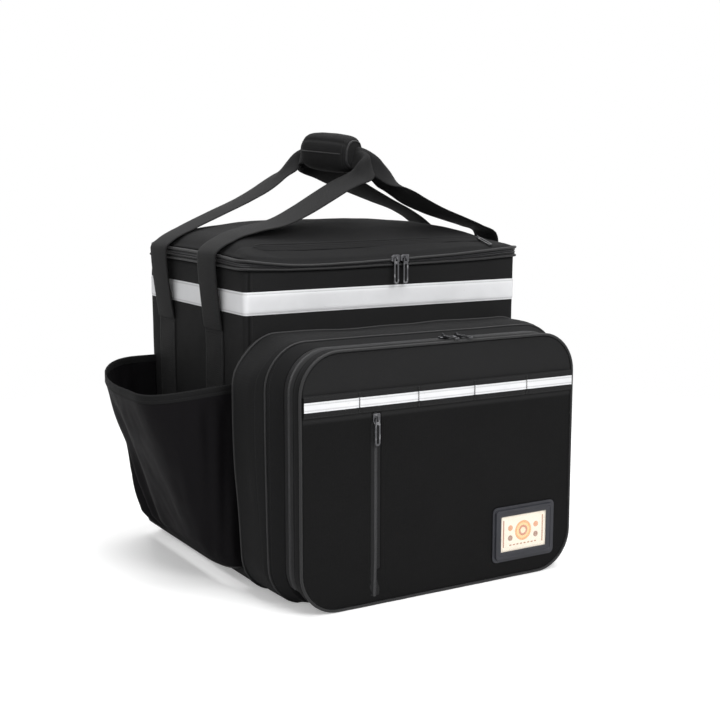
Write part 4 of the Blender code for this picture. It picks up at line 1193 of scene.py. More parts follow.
@dataclass
class Compartment:
    """Cloth walls of the front compartment and its foil; the flap builds its zip.

    Attributes:
        depths: distances in front of the box where its widths, heights and corner radii are given.
        seam: where the two bands of cloth meet.
        front: where the walls end and the zip starts.
        bulge: how far the upper sides stand out beyond the outline.
    """

    depths: Floats = (0.0003, 0.006, 0.014, 0.062, 0.07, 0.0834)
    widths: Floats = (0.374, 0.39, 0.394, 0.392, 0.386, 0.3601)
    heights: Floats = (0.286, 0.2878, 0.289, 0.289, 0.2874, 0.2826)
    corners: Floats = (0.03, 0.037, 0.046, 0.046, 0.046, 0.046)
    seam: float = 0.07
    front: float = 0.0834
    bulge: float = 0.01

    def loop(self, depth: float, inset: float = 0.0) -> tuple[Points, Points]:
        """Places and normals of the outline at a depth, from the middle of the bottom."""
        width, height, corner = [
            float(np.interp(depth, self.depths, sizes)) for sizes in (self.widths, self.heights, self.corners)
        ]
        return Outline(width, height, corner, 64, 48, 12).inset(inset).stand(depth, height / 2)

    def skin(self, depths: Sequence[float], inset: float, soft: float) -> Points:
        """Rows round the compartment.

        Args:
            depths: the rows' distances in front of the box.
            inset: how far inside the cloth they lie.
            soft: the weight of folds and bulges.

        Returns:
            A table of places that wraps round.
        """
        rows = []
        for depth in depths:
            flat, normals = self.loop(depth, inset)
            rise = smooth_step(flat[:, 2], 0.0, 0.2) * (1 - smooth_step(flat[:, 2], 0.235, 0.285))
            full = smooth_step(depth, 0.0, 0.016) * (1 - smooth_step(depth, 0.05, 0.08))
            side = np.abs(normals[:, 0]) ** 2
            push = self.bulge * rise * full * side - 0.001 * (1 - rise) * full * side
            top = normals[:, 2].clip(0, 1) * (np.sin(math.pi * np.clip(depth / self.seam, 0, 1)) * 0.0012)
            wave = 0.0013 * unevenness(flat * np.array((1.0, 1.6, 0.6)), 0.065, 71.0)
            floor = smooth_step(flat[:, 2], 0.001, 0.03)
            flat += normals * ((push + top + wave * min(full + 0.25, 1)) * floor * soft)[:, None]
            rows.append(flat)
        return np.array(rows)

    def build_bands(self) -> None:
        """The rear and front bands of cloth and the bound seam between them."""
        rear = np.concatenate([[0.0003, 0.003, 0.006, 0.01], np.linspace(0.014, self.seam, 26)])
        rear = np.concatenate([self.skin([0.0003], 0.02, 0.0), self.skin(rear, 0.0, 1.0)])
        front = self.skin(np.linspace(self.seam + 0.0003, self.front, 14), 0.0, 1.0)
        for name, points, rows in (
            ("rear", rear, (Row(self.seam + 0.0155), Row(0.03))),
            ("front", front, (Row(0.003), Row(0.0195))),
        ):
            band = thicken(net("compartment_%s_band" % name, points, wrap=True), 0.0012)
            dress(band, OXFORD.with_rows("oxford_%s_band" % name, *rows), "bag", "gusset_" + name)
        for name, depth, size, out in (("mid", self.seam, 0.0011, 0.0004), ("rear", 0.0125, 0.0013, 0.0008)):
            path = self.skin([depth], -out, 1.0)[0]
            path[:, 2] = np.maximum(path[:, 2], size + 0.0002)
            dress(tube("compartment_" + name + "_seam", path, size), PIPING, "bag")

    def build_lining(self) -> None:
        """Foil walls and back inside the compartment."""
        depths = np.linspace(0.0016, self.front + 0.0005, 26)
        inset = 0.0066
        points = self.skin(depths, inset, 0.0)
        wave = 0.0012 * (1 + unevenness(points, 0.07, 81.0, 3))
        centre = np.array((0.0, 0.0, 0.142))
        inward = centre - points
        inward[..., 1] = 0
        inward /= np.linalg.norm(inward, axis=2)[..., None]
        points += inward * wave[..., None]
        walls = net("compartment_foil", points, wrap=True, flip=True)
        dress(walls, FOIL, "bag", "compartment_liner", "compartment_foam")
        width, height = self.widths[0] - 2 * inset, self.heights[0] - 2 * inset
        flat = sheet_rows(Outline(width, height, self.corners[0] - inset), 50, 64)
        z = flat[..., 1] + self.heights[0] / 2
        back = np.stack([flat[..., 0], np.full(z.shape, -0.0016), z], -1)
        back[..., 1] -= 0.0008 * (1 + unevenness(back, 0.07, 83.0, 3))
        dress(net("compartment_foil_back", back), FOIL, "bag")
        steps = [(0.0, 0.0), *((0.0002, inset) for inset in (0.0008, 0.0035, 0.0075))]
        steps += [(0.0, 0.0097), (-0.008, 0.0102)]
        rows = [self.skin([self.front + out], inset, 0.0)[0] for out, inset in steps]
        binding = net("compartment_binding", np.array(rows), wrap=True, flip=True)
        dress(binding, OXFORD, "bag")

    def build(self) -> None:
        """Build every piece of the compartment's walls."""
        self.build_bands()
        self.build_lining()


@dataclass
class Flap:
    """The front panel that folds down: cloth, piping, webbing and the flat pocket's zip; its card holder is a
    kept solid, dressed with the others.

    Attributes:
        lift: how far its lower edge is over the floor.
        face: the face's distance in front of the box.
        rear: where its skirt ends.
        bartacks: their places across the face.
    """

    width: float = 0.3601
    height: float = 0.281
    lift: float = 0.0016
    face: float = 0.1187
    rear: float = 0.1027
    corner: float = 0.046
    chamfer: float = 0.003
    zip_x: float = -0.0886
    zip_foot: float = 0.01
    zip_top: float = 0.2138
    zip_half_width: float = 0.0062
    webbing_foot: float = 0.2145
    webbing_width: float = 0.024
    tape_width: float = 0.0105
    bartacks: Floats = (-0.1104, -0.0359, 0.0386, 0.1115)

    def outline(self, inset: float = 0.0) -> Outline:
        """The flap's outline, drawn in by a distance."""
        return Outline(self.width, self.height, self.corner, 64, 48, 12).inset(inset)

    def loop(self, depth: float, inset: float) -> Points:
        """The outline at a distance in front of the box, from the middle of the bottom."""
        return self.outline(inset).stand(depth, self.lift + self.height / 2)[0]

    def swell(self, x: Points, z: Points) -> Points:
        """How far the face stands out at places on it."""
        side = 1 - np.abs(x) / (self.width / 2)
        end = 1 - np.abs(z - self.lift - self.height / 2) / (self.height / 2)
        calm = smooth_step(side, 0.0, 0.1) * smooth_step(end, 0.0, 0.12)
        places = np.stack([x, np.zeros_like(x), z], -1)
        wave = 0.0005 * unevenness(places, 0.1, 91.0) + 0.00018 * unevenness(places, 0.03, 93.0)
        hard = np.exp(-(((x - 0.1118) / 0.055) ** 4) - (((z - 0.0533) / 0.042) ** 4))
        zipped = np.exp(-(((x - self.zip_x) / 0.016) ** 2)) * (z < self.zip_top + 0.02)
        strip = np.exp(-(((z - self.webbing_foot - self.webbing_width / 2) / 0.018) ** 4))
        flat = np.clip(1 - hard - zipped - 0.7 * strip, 0, 1)
        return calm * wave * flat

    def build_face(self) -> None:
        """The face, with the pressed slot of the pocket's zip and the sewn edges beside it."""
        flat = sheet_rows(self.outline(self.chamfer), 120, 90)
        x, z = flat[..., 0], flat[..., 1] + self.lift + self.height / 2
        half = self.zip_half_width
        edges = np.array([-half - 0.0105, -half - 0.004, -half - 0.0012, -half, -half + 0.0004])
        marks = self.zip_x + np.concatenate([edges, -edges[::-1]])
        columns = x[len(x) // 2]
        kept = columns[np.abs(columns - self.zip_x) > half + 0.013]
        columns = np.sort(np.concatenate([kept, marks]))
        share = columns / np.abs(columns).max()
        x = np.abs(x[:, -1:]) * share[None]
        middle = (z[:, :1] > self.lift + self.corner) & (z[:, :1] < self.height - self.corner)
        x = np.where(middle, columns[None] * np.ones_like(z[:, :1]), x)
        z = np.repeat(z[:, :1], len(columns), 1)
        away = np.abs(x - self.zip_x)
        slot = (away < half - 0.0002) & (z > self.zip_foot) & (z < self.zip_top)
        beside = (z > self.zip_foot - 0.004) * (z < self.zip_top + 0.003)
        welt = np.exp(-(((away - half - 0.0016) / 0.0022) ** 2)) * beside
        depth = self.face + self.swell(x, z) + 0.0007 * welt - 0.0016 * slot
        points = np.stack([x, -depth, z], -1)
        middle = float(self.zip_x - columns[0])
        end = self.zip_top - self.lift - 0.002
        rows = [Row(middle + way * (half + 0.003), True, start=0.004, end=end) for way in (-1, 1)]
        face = net("flap_face", points)
        # Painted light: the face gets a lighter copy of the oxford's colour, and below the webbing it is
        # painted in shade.
        finish = replace(OXFORD.with_rows("oxford_face", *rows), panel=self.webbing_foot, colour=FACE_OXFORD_PAINTED_LIGHTER)
        dress(face, finish, "flap", "flap_panel", "flap_pocket_lining")

    def build_skirt(self) -> None:
        """The flap's side wall behind its piping."""
        rear, face = self.rear, self.face
        steps = [(rear, 0.0005), (rear + 0.0006, 0.0), (rear + 0.004, -0.0003), (rear + 0.009, -0.0003)]
        steps += [(face - self.chamfer, 0.0), (face - 0.0012, 0.0012), (face, self.chamfer + 0.0004)]
        points = np.array([self.loop(depth, inset) for depth, inset in steps])
        points[1:5] += 0.0004 * unevenness(points[1:5], 0.05, 95.0)[..., None] * np.array((1.0, 0.0, 0.0))
        skirt = net("flap_skirt", points, wrap=True)
        thicken(skirt, 0.001)
        dress(skirt, OXFORD.with_rows("oxford_skirt", Row(0.003)), "flap")
        cord_inset = self.chamfer / 2 - 0.0018 * math.cos(math.radians(45))
        path = self.loop(self.face - cord_inset, cord_inset)
        path += 0.0002 * unevenness(path, 0.04, 97.0)[:, None]
        dress(tube("flap_piping_cord", path, 0.0016), PIPING, "flap", "flap_piping")

    def build_foil(self) -> None:
        """Foil on the inside of the flap, bound at its edge."""
        flat = sheet_rows(self.outline(0.006), 60, 76)
        z = flat[..., 1] + self.lift + self.height / 2
        points = np.stack([flat[..., 0], np.full(z.shape, -0.1092), z], -1)
        calm = smooth_step(1 - np.abs(points[..., 0]) / (self.width / 2), 0.03, 0.12)
        points[..., 1] += 0.001 * (1 + unevenness(points, 0.07, 99.0, 3)) * calm
        dress(net("flap_foil", points, flip=True), FOIL, "flap", "flap_liner", "flap_foam")
        steps = [(self.rear, 0.0005), (self.rear - 0.0002, 0.003), (self.rear + 0.0015, 0.0052)]
        rows = np.array([self.loop(*step) for step in (*steps, (0.1088, 0.0064), (0.109, 0.012))])
        dress(net("flap_binding", rows, wrap=True, flip=True), OXFORD, "flap")

    def build_zip(self, compartment: Compartment) -> None:
        """Both halves of the zip that runs from one lower corner over the top to the other."""
        outline = self.outline(0.0005)
        skip = outline.across // 2 + round(0.6 * outline.corner)
        for name, foot, way, body, node in (
            ("compartment_zip", compartment.front + 0.0003, 1, "bag", "compartment_zip_tape"),
            ("flap_zip", self.rear - 0.0003, -1, "flap", "flap_zip_tape"),
        ):

            def row(run: float, offset: float, foot: float = foot, way: int = way) -> Points:
                """Places along this half, at a run from its foot and an offset from the cloth."""
                places, normals = outline.stand(foot + way * run, self.lift + self.height / 2)
                return (places + normals * offset)[skip:-skip]

            ZipHalf(name, 0.0092).build(row, body, node)

    def build_fold(self) -> None:
        """The cloth on the ground that the flap folds on."""
        y = np.linspace(-(self.rear + 0.0035), -0.08, 12)
        x = np.linspace(-0.135, 0.135, 50)
        points = np.stack(np.broadcast_arrays(x[None, :], y[:, None], 0.0016), -1).copy()
        arch = 0.0035 * np.sin(math.pi * (y - y[0]) / (y[-1] - y[0]))
        points[..., 2] += arch[:, None] * 0.9 + 0.0003 * unevenness(points, 0.04, 101.0)
        fold = net("flap_fold_cloth", points)
        thicken(fold, 0.001, 0.0)
        dress(fold, OXFORD, "", "flap_fold_strip")
        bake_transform(fold)

    def build_webbing(self) -> None:
        """Webbing across the face, the reflective tape on it and the bartacks through both."""
        half = self.width / 2 - 0.003
        x = np.linspace(-half, half, 150)
        base = self.webbing_foot
        tack = sum(np.exp(-(((x - place) / 0.0028) ** 2)) for place in self.bartacks)
        puff = 0.0012 * np.clip(1 - tack, 0, 1)

        def strip(levels: Points, up: float, soft: float) -> Points:
            """Rows of places at heights, lifted off the face."""
            z = np.repeat(levels[:, None], len(x), 1)
            across = np.broadcast_to(x, z.shape)
            return np.stack([across, -(self.face + self.swell(across, z) + up + soft * puff), z], -1)

        levels = np.linspace(base, base + self.webbing_width, 9)
        points = strip(levels, 0.0018, 0.8)
        points[[0, -1], :, 1] += 0.0011
        band = net("front_webbing_strip", points)
        finish = replace(WEBBING, pitch=0.0009, relief=0.0003, roughness=0.74, gloss=0.14, sheen=0.04)
        rows = [Row(0.0016), Row(0.0224)]
        dress(band, finish.with_rows("front_webbing_rows", *rows), "flap", "front_webbing")
        foot = base + (self.webbing_width - self.tape_width) / 2
        levels = np.linspace(foot, foot + self.tape_width, 5)
        points = strip(levels, 0.0023, 0.8)
        tape = net("front_reflective_strip", points)
        dress(tape, ReflectiveTape("front_tape", self.tape_width), "flap", "front_reflective_tape")
        for index, place in enumerate(self.bartacks):
            self.build_bartack(index, place)

    def build_bartack(self, index: int, place: float) -> None:
        """One close row of thread across the webbing.

        Args:
            index: its number from the left.
            place: where it stands across the face.
        """
        turns = 22
        levels = self.webbing_foot + np.linspace(0.0006, self.webbing_width - 0.0006, turns * 4)
        swing = np.sin(np.linspace(0, turns * math.pi, len(levels))) * 0.0007
        depth = self.face + 0.0026 + 0.0002 * np.cos(np.linspace(0, turns * 2 * math.pi, len(levels)))
        path = np.column_stack([place + swing, -depth, levels])
        thread = tube("bartack_%d" % (index + 1), path, 0.00028, closed=False, sides=6)
        dress(thread, PIPING, "flap")

    def build_pocket_zip(self) -> None:
        """Tape and coil of the upright zip, sunk in its slot, and its stop at the foot."""
        z = np.linspace(self.zip_foot, self.zip_top, 90)

        def strip(run: Pairs) -> Points:
            """Columns of places at distances from the zip's middle and heights over the face."""
            curl = -0.0012 * (1 - smooth_step(z, 0.0, 0.06))
            flat = np.full(len(z), -self.face)
            return np.array([np.column_stack([self.zip_x + away + curl, flat - up, z]) for away, up in run])

        tape = strip(mirrored((0.0061, -0.0009), (0.003, -0.0005), (0.0, -0.0004)))
        coil = strip(mirrored((0.002, -0.0006), (0.0013, 0.0002), (0.0, 0.0005)))
        flat_zip("pocket_zip", tape, coil, "flap", "pocket_zip")

    def build(self, compartment: Compartment) -> None:
        """Build every piece of the flap."""
        self.build_face()
        self.build_skirt()
        self.build_foil()
        self.build_zip(compartment)
        self.build_fold()
        self.build_webbing()
        self.build_pocket_zip()


# Side pockets


@dataclass
class Sided:
    """A piece of the box's left side, -1, or its right side, 1."""

    side: int
    box: Box

    @property
    def name(self) -> str:
        """left or right."""
        return "left" if self.side < 0 else "right"


@dataclass
class CupPocket(Sided):
    """A gathered pocket on one side.

    Attributes:
        reach: how far its mouth stands out.
        top: where its hem starts.
        pressed: what is left of its thickness under a dropped handle; not used.
        creases: place along the mouth, shift to the foot, width, depth and the two end heights.
    """

    front: float = 0.01
    rear: float = 0.268
    reach: float = 0.1052
    foot: float = 0.022
    top: float = 0.2255
    hem: float = 0.009
    corner: float = 0.052
    rear_corner: Table = ((0.19, 0.34, 0.6), (0.03, 0.1, 0.16))
    corner_share: float = 0.8
    pressed: float = 0.26
    standoff: float = 0.0016
    height_shares: Floats = (0.0, 0.06, 0.15, 0.35, 0.65, 1.0)
    reach_shares: Floats = (0.19, 0.3, 0.44, 0.58, 0.77, 1.0)
    creases: tuple[Floats, ...] = (
        (0.045, 0.03, 0.018, 0.0045, 0.0, 1.02),
        (0.105, 0.01, 0.022, 0.0038, 0.05, 0.95),
        (0.165, -0.02, 0.02, 0.0026, 0.3, 1.0),
        (0.56, 0.01, 0.04, 0.004, 0.05, 0.9),
        (0.72, -0.1, 0.022, 0.01, 0.06, 0.5),
        (0.76, -0.04, 0.018, 0.006, 0.02, 0.38),
        (0.9, -0.02, 0.02, 0.003, 0.0, 1.0),
    )

    def curve(self, share: float, inset: float, steps: int = 150) -> tuple[Points, Points]:
        """The pocket in plan.

        Args:
            share: its reach, as a share of the reach at the mouth.
            inset: how far inside the cloth the line lies.
            steps: how many places there are.

        Returns:
            The places and their outward normals, from the front edge to the rear edge.
        """
        wall = self.box.width / 2 + self.standoff
        far = wall + share * self.reach - inset
        front, rear = self.front + inset, self.rear - inset
        rear_reach = self.corner_share * (far - wall)
        front_reach = min(self.corner, rear_reach)
        front_depth, rear_depth = self.corner - inset, float(np.interp(share, *self.rear_corner)) - inset
        corners = (
            (front + front_depth, front_depth, front_reach, -1),
            (rear - rear_depth, rear_depth, rear_reach, 0),
        )
        line = [(wall, front), (far - front_reach, front)]
        for centre_y, depth, reach, start in corners:
            for step in range(13):
                angle = (start + step / 12) * math.pi / 2
                line.append((far - reach + reach * math.cos(angle), centre_y + depth * math.sin(angle)))
        line.append((wall, rear))
        places = np.array(line)
        run = np.concatenate([[0], np.linalg.norm(np.diff(places, axis=0), axis=1).cumsum()])
        even = np.linspace(0, run[-1], steps)
        places = np.column_stack([np.interp(even, run, places[:, axis]) for axis in (0, 1)])
        tangent = np.gradient(places, axis=0)
        tangent /= np.linalg.norm(tangent, axis=1)[:, None]
        return places, np.column_stack([tangent[:, 1], -tangent[:, 0]])

    def mouth_dip(self, share: Points) -> Points:
        """How far the mouth hangs down along the pocket."""
        low = 0.002 * np.exp(-(((share - 0.27) / 0.08) ** 2))
        return 0.009 * np.sin(math.pi * np.clip(share * 1.1, 0, 1)) ** 1.5 + low

    def surface(self, levels: Sequence[float], inset: float) -> Points:
        """Rows of places round the pocket at shares of its height, creased."""
        rows = []
        for level in levels:
            share = float(np.interp(level, self.height_shares, self.reach_shares))
            places, normals = self.curve(share, inset)
            along = np.linspace(0, 1, len(places))
            dip = self.mouth_dip(along) * smooth_step(level, 0.4, 1.0)
            z = self.foot + level * (self.top - self.foot) - dip
            pull = np.zeros(len(places))
            for at, shift, width, depth, low, high in self.creases:
                centre = at + shift * (1 - level)
                live = smooth_step(level, low - 0.12, low + 0.12)
                live = live * (1 - smooth_step(level, high - 0.12, high + 0.12))
                away = (along - centre) / width
                pull += depth * (np.exp(-(away**2)) - 0.45 * np.exp(-((np.abs(away) - 1.9) ** 2))) * live
            flat = np.column_stack([places, z])
            wave = 0.0022 * unevenness(flat * np.array((1, 1, 0.45)), 0.05, 111.0 + self.side, 3)
            sewn = np.sin(math.pi * np.clip(along, 0, 1)) ** 0.35 * smooth_step(level, 0.0, 0.1)
            still = 1 - 0.75 * smooth_step(level, 0.86, 1.0)
            flat[:, :2] -= normals * ((pull + wave) * sewn * still)[:, None]
            flat[:, 0] = np.maximum(flat[:, 0], self.box.width / 2 + self.standoff * 0.6)
            flat[:, 0] -= 0.004 * np.exp(-np.minimum(along, 1 - along) / 0.01)
            flat[:, 0] *= self.side
            rows.append(flat)
        return np.array(rows)

    def build(self) -> None:
        """Build the pocket's cloth, its hem and the binding along its edges."""
        levels = np.concatenate([[0.0, 0.02], np.linspace(0.05, 1.0, 80)])
        cloth = net(self.name + "_pocket_cloth", self.surface(levels, 0.0), flip=self.side < 0)
        dress(thicken(cloth, 0.0007), POCKET_CLOTH, "bag", self.name + "_cup_pocket")
        self.press(cloth)
        mouth = self.surface([1.0], -0.0002)[0]
        inside = self.surface([1.0], 0.0014)[0]
        rise = np.array((0.0, 0.0, 1.0))
        rows = [mouth - rise * 0.0012, mouth + rise * 0.0004]
        rows += [mouth + rise * (self.hem * share) for share in (0.25, 0.5, 0.75, 0.92)]
        rows += [(mouth + inside) / 2 + rise * self.hem * 1.02]
        rows += [inside + rise * (self.hem * share) for share in (0.92, 0.5, 0.0)]
        hem = net(self.name + "_hem", np.array(rows), flip=self.side < 0)
        finish = OXFORD.with_rows("oxford_hem", Row(0.003), Row(0.0092))
        dress(hem, finish, "bag", self.name + "_pocket_hem")
        self.press(hem)
        floor, _ = self.curve(self.reach_shares[0], 0.0)
        path = np.column_stack([floor * (self.side, 1), np.full(len(floor), self.foot + 0.0014)])
        seam = tube(self.name + "_pocket_seam", path, 0.0012, closed=False, sides=8)
        dress(seam, PIPING, "bag")
        self.press(seam)

    def press(self, piece: Item) -> None:
        """Give a piece its own copy of its mesh."""
        wall = (self.side * self.box.width / 2, FRONT_WALL, self.top)
        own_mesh(piece)


# Handles


# Where each leg runs from the rim to the grip: its place, the lie of its width, and how far it is folded.
LEFT_FRONT: tuple[Floats, ...] = (
    (-0.194, 0.081, 0.366, 0, 1, 0, 0), (-0.1936, 0.081, 0.3745, 0, 1, 0, 0),
    (-0.185, 0.081, 0.383, 0, 1, 0.03, 0), (-0.16, 0.081, 0.3905, 0, 1, 0.06, 0),
    (-0.1231, 0.081, 0.401, 0, 1, 0.08, 0), (-0.0922, 0.081, 0.4117, 0, 1, 0.1, 0),
    (-0.0711, 0.081, 0.4215, 0, 1, 0.13, 0), (-0.04, 0.08, 0.4385, 0, 1, 0.16, 0),
    (-0.015, 0.079, 0.4525, 0, 1, 0.17, 0.05), (0.001, 0.077, 0.4625, -0.1, 1, 0.16, 0.3),
    (0.011, 0.076, 0.4705, -0.4, 0.9, 0.12, 0.8), (0.0175, 0.08, 0.477, -0.9, 0.4, 0.1, 1),
    (0.0165, 0.088, 0.481, -1, -0.1, 0, 1), (0.013, 0.102, 0.4825, -1, -0.2, 0, 1),
)
LEFT_REAR: tuple[Floats, ...] = (
    (-0.1955, 0.2225, 0.366, 0, 1, 0, 0), (-0.1955, 0.2225, 0.375, 0, 1, 0, 0),
    (-0.186, 0.2225, 0.3835, 0, 1, 0, 0), (-0.1579, 0.2225, 0.3976, 0, 1, 0.02, 0),
    (-0.1193, 0.22, 0.4149, 0, 1, 0.03, 0), (-0.0797, 0.215, 0.433, 0, 1, 0.02, 0),
    (-0.0495, 0.208, 0.4515, 0, 1, 0.02, 0), (-0.033, 0.205, 0.465, 0.1, 1, 0, 0.15),
    (-0.02, 0.201, 0.4755, 0.3, 0.9, 0, 0.55), (-0.0095, 0.195, 0.483, 0.8, 0.5, 0, 1),
    (-0.006, 0.186, 0.487, 1, 0.1, 0, 1), (-0.0085, 0.172, 0.489, 1, 0, 0, 1),
)
RIGHT_FRONT: tuple[Floats, ...] = (
    (0.1945, 0.081, 0.366, 0, 1, 0, 0), (0.199, 0.079, 0.377, 0, 1, 0.02, 0),
    (0.196, 0.078, 0.3885, 0, 1, 0.02, 0), (0.1747, 0.08, 0.3985, 0, 1, -0.03, 0),
    (0.1511, 0.081, 0.4065, 0, 1, -0.08, 0), (0.1142, 0.081, 0.419, 0, 1, -0.13, 0),
    (0.0752, 0.081, 0.4375, 0, 1, -0.16, 0), (0.06, 0.081, 0.4485, 0, 1, -0.1, 0.25),
    (0.047, 0.081, 0.4585, 0, 1, 0, 0.8), (0.037, 0.081, 0.467, 0.1, 1, 0, 1),
    (0.029, 0.082, 0.475, 0.5, 0.8, 0, 1), (0.0215, 0.087, 0.482, 0.9, 0.4, 0, 1),
    (0.0155, 0.097, 0.486, 1, 0.2, 0, 1), (0.012, 0.108, 0.487, 1, 0.2, 0, 1),
)
RIGHT_REAR: tuple[Floats, ...] = (
    (0.194, 0.2225, 0.366, 0, 1, 0, 0), (0.1975, 0.22, 0.377, 0, 1, 0, 0),
    (0.193, 0.216, 0.389, 0, 1, 0.02, 0), (0.178, 0.213, 0.401, 0, 1, 0.02, 0),
    (0.1568, 0.21, 0.4125, 0, 1, 0, 0), (0.1146, 0.205, 0.429, 0, 1, -0.1, 0),
    (0.0705, 0.2, 0.447, 0, 1, -0.25, 0), (0.042, 0.198, 0.46, 0, 1, -0.4, 0),
    (0.022, 0.198, 0.47, -0.1, 1, -0.4, 0.1), (0.007, 0.197, 0.4775, -0.4, 0.9, -0.2, 0.55),
    (-0.004, 0.192, 0.483, -0.9, 0.4, 0, 1), (-0.0085, 0.182, 0.487, -1, 0, 0, 1),
    (-0.0085, 0.17, 0.489, -1, 0, 0, 1),
)


def spline(stations: Points, step: float) -> Points:
    """A smooth run through rows of values.

    Args:
        stations: the rows; their first three values are a place.
        step: the distance between the places of the result.

    Returns:
        Rows of values, evenly spaced along the run.
    """
    knots = np.concatenate([[0], np.linalg.norm(np.diff(stations[:, :3], axis=0), axis=1).cumsum()])
    slopes = np.gradient(stations, knots, axis=0)
    at = np.linspace(0, knots[-1], int(knots[-1] / step) + 1)
    left = np.clip(np.searchsorted(knots, at, "right") - 1, 0, len(knots) - 2)
    gap = (knots[left + 1] - knots[left])[:, None]
    share = (at - knots[left])[:, None] / gap
    ease = share * share * (3 - 2 * share)
    bend_in = share * (1 - share) ** 2
    bend_out = share * share * (share - 1)
    between = stations[left] * (1 - ease) + stations[left + 1] * ease
    return between + gap * (bend_in * slopes[left] + bend_out * slopes[left + 1])


@dataclass
class Handle(Sided):
    """One webbing handle: it leaves its seam, crosses the rim and folds into the grip.

    Attributes:
        front_run, rear_run: the legs' ways to the grip.
        foot_z: where its sewn end starts.
        pivot_z: the height of its seam.
        legs: where its front and rear legs stand.
        fold_angle: how far its two halves turn down in the grip, in degrees.
        clearance: how far its middle stays over the lid.
    """

    lid: Lid
    front_run: tuple[Floats, ...]
    rear_run: tuple[Floats, ...]
    width: float = 0.05
    thickness: float = 0.0016
    foot_z: float = 0.024
    pivot_z: float = 0.288
    legs: tuple[float, float] = (0.081, 0.2225)
    fold_angle: float = 74.0
    clearance: float = 0.0032

    def wall_x(self, y: float, z: float, off: float) -> float:
        """The side wall's x at a place, plus a distance, on this side."""
        base = self.box.width / 2
        ripple = float(self.box.wall_ripple(np.array([[self.side * base, y, z]]))[0])
        return self.side * (base + ripple + off)

    def route(self, leg: float, run: tuple[Floats, ...]) -> Points:
        """One leg from its seam to the grip.

        Args:
            leg: where the leg stands, from the front.
            run: its stations from the rim on.

        Returns:
            Rows of a place, the lie of the width and the fold.
        """
        out = abs(run[0][0]) - self.box.width / 2
        wall = []
        for share in (0.0, 0.16, 0.34, 0.54, 0.76):
            z = self.pivot_z + share * (run[0][2] - self.pivot_z)
            stand = 0.0022 + (out - 0.0022) * share * (2 - share) * (0.72 + 0.28 * share)
            wall.append((self.wall_x(leg, z, stand), leg, z, 0.0, 1.0, 0.0, 0.0))
        rows = spline(np.array(wall + list(run)), 0.0045)
        spread = (-0.024, 0.0, 0.024)
        least = np.array([max(self.lid.top(x, y + away) for away in spread) for x, y in rows[:, :2]])
        short = np.clip(least + self.clearance - rows[:, 2], 0, 1) * (rows[:, 2] > 0.372)
        soft = np.convolve(np.pad(short, 4, "edge"), np.hanning(11)[1:-1] / np.hanning(11).sum(), "valid")
        rows[:, 2] += np.maximum(short, soft)
        return rows

    def section(self, row: Points, run: Vector) -> list[Vector]:
        """The webbing's cross-section: flat along the leg, folded down its middle at the grip.

        Args:
            row: its middle, the lie of its width and its fold.
            run: the way the webbing runs.

        Returns:
            The places round the section.
        """
        middle, lie, fold = Vector(row[:3]), Vector(row[3:6]), min(max(float(row[6]), 0.0), 1.0)
        across = (lie - run * lie.dot(run)).normalized()
        out = run.cross(across).normalized()
        turn = math.radians(self.fold_angle) * fold * -self.side
        spread = np.linspace(-0.5, 0.5, 25)
        angle = turn * np.tanh(spread / 0.09) + 0.1 * spread
        step = self.width / 24
        between = (angle[1:] + angle[:-1]) / 2
        steps = (np.cos(between) * step, np.sin(between) * step)
        side, drop = [np.concatenate([[0], np.cumsum(run)]) for run in steps]
        side -= side.mean()
        drop -= drop.mean()
        half = self.thickness / 2 * np.where(np.abs(spread) > 0.47, 0.6, 1.0)
        ring: list[Vector] = []
        for way, order in ((1, range(25)), (-1, range(24, -1, -1))):
            for index in order:
                reach = side[index] + way * half[index] * math.sin(angle[index])
                rise = -drop[index] + way * half[index] * math.cos(angle[index])
                ring.append(middle + across * float(reach) + out * float(rise))
        return ring

    def build_strap(self) -> None:
        """The free webbing, each leg from its seam to the middle of the grip."""
        middle = (np.array(self.front_run[-1][:3]) + np.array(self.rear_run[-1][:3])) / 2
        runs = (self.front_run, self.rear_run)
        for label, leg, run, way in zip(("front", "rear"), self.legs, runs, (1, -1)):
            inside = (middle[0], middle[1] + way * 0.001, middle[2], *run[-1][3:])
            rows = self.route(leg, (*run, inside))
            points = [Vector(row[:3]) for row in rows]
            rings = []
            for here, row in enumerate(rows):
                ahead = points[min(here + 1, len(points) - 1)] - points[max(here - 1, 0)]
                rings.append([tuple(place) for place in self.section(row, ahead.normalized())])
            strap = net("%s_%s_webbing" % (self.name, label), np.array(rings), wrap=True)
            stands_for = (self.name + "_strap",) if way == 1 else ()
            dress(strap, WEBBING, self.name + "_handle", *stands_for)

    def build_feet(self) -> None:
        """The sewn lower ends on the box's side, with a row of stitches along each edge."""
        for label, leg in zip(("front", "rear"), self.legs):
            levels = np.linspace(self.foot_z, self.pivot_z + 0.001, 46)
            spread = np.linspace(-self.width / 2, self.width / 2, 15)
            rows = []
            for z in levels:
                x = [self.wall_x(leg + y, float(z), 0.0013 - 0.0006 * (abs(y) > 0.0248)) for y in spread]
                rows.append(np.column_stack([x, leg + spread, np.full(len(spread), z)]))
            foot = net("%s_%s_strap_foot" % (self.name, label), np.array(rows), flip=self.side > 0)
            length = self.pivot_z - self.foot_z
            lines = [Row(0.0025, True), Row(self.width - 0.0025, True), Row(length - 0.004)]
            finish = WEBBING.with_rows("strap_foot_webbing", *lines)
            dress(foot, finish, "bag", "%s_%s_strap_base" % (self.name, label))

    def build(self) -> None:
        """Build this handle."""
        self.build_strap()
        self.build_feet()


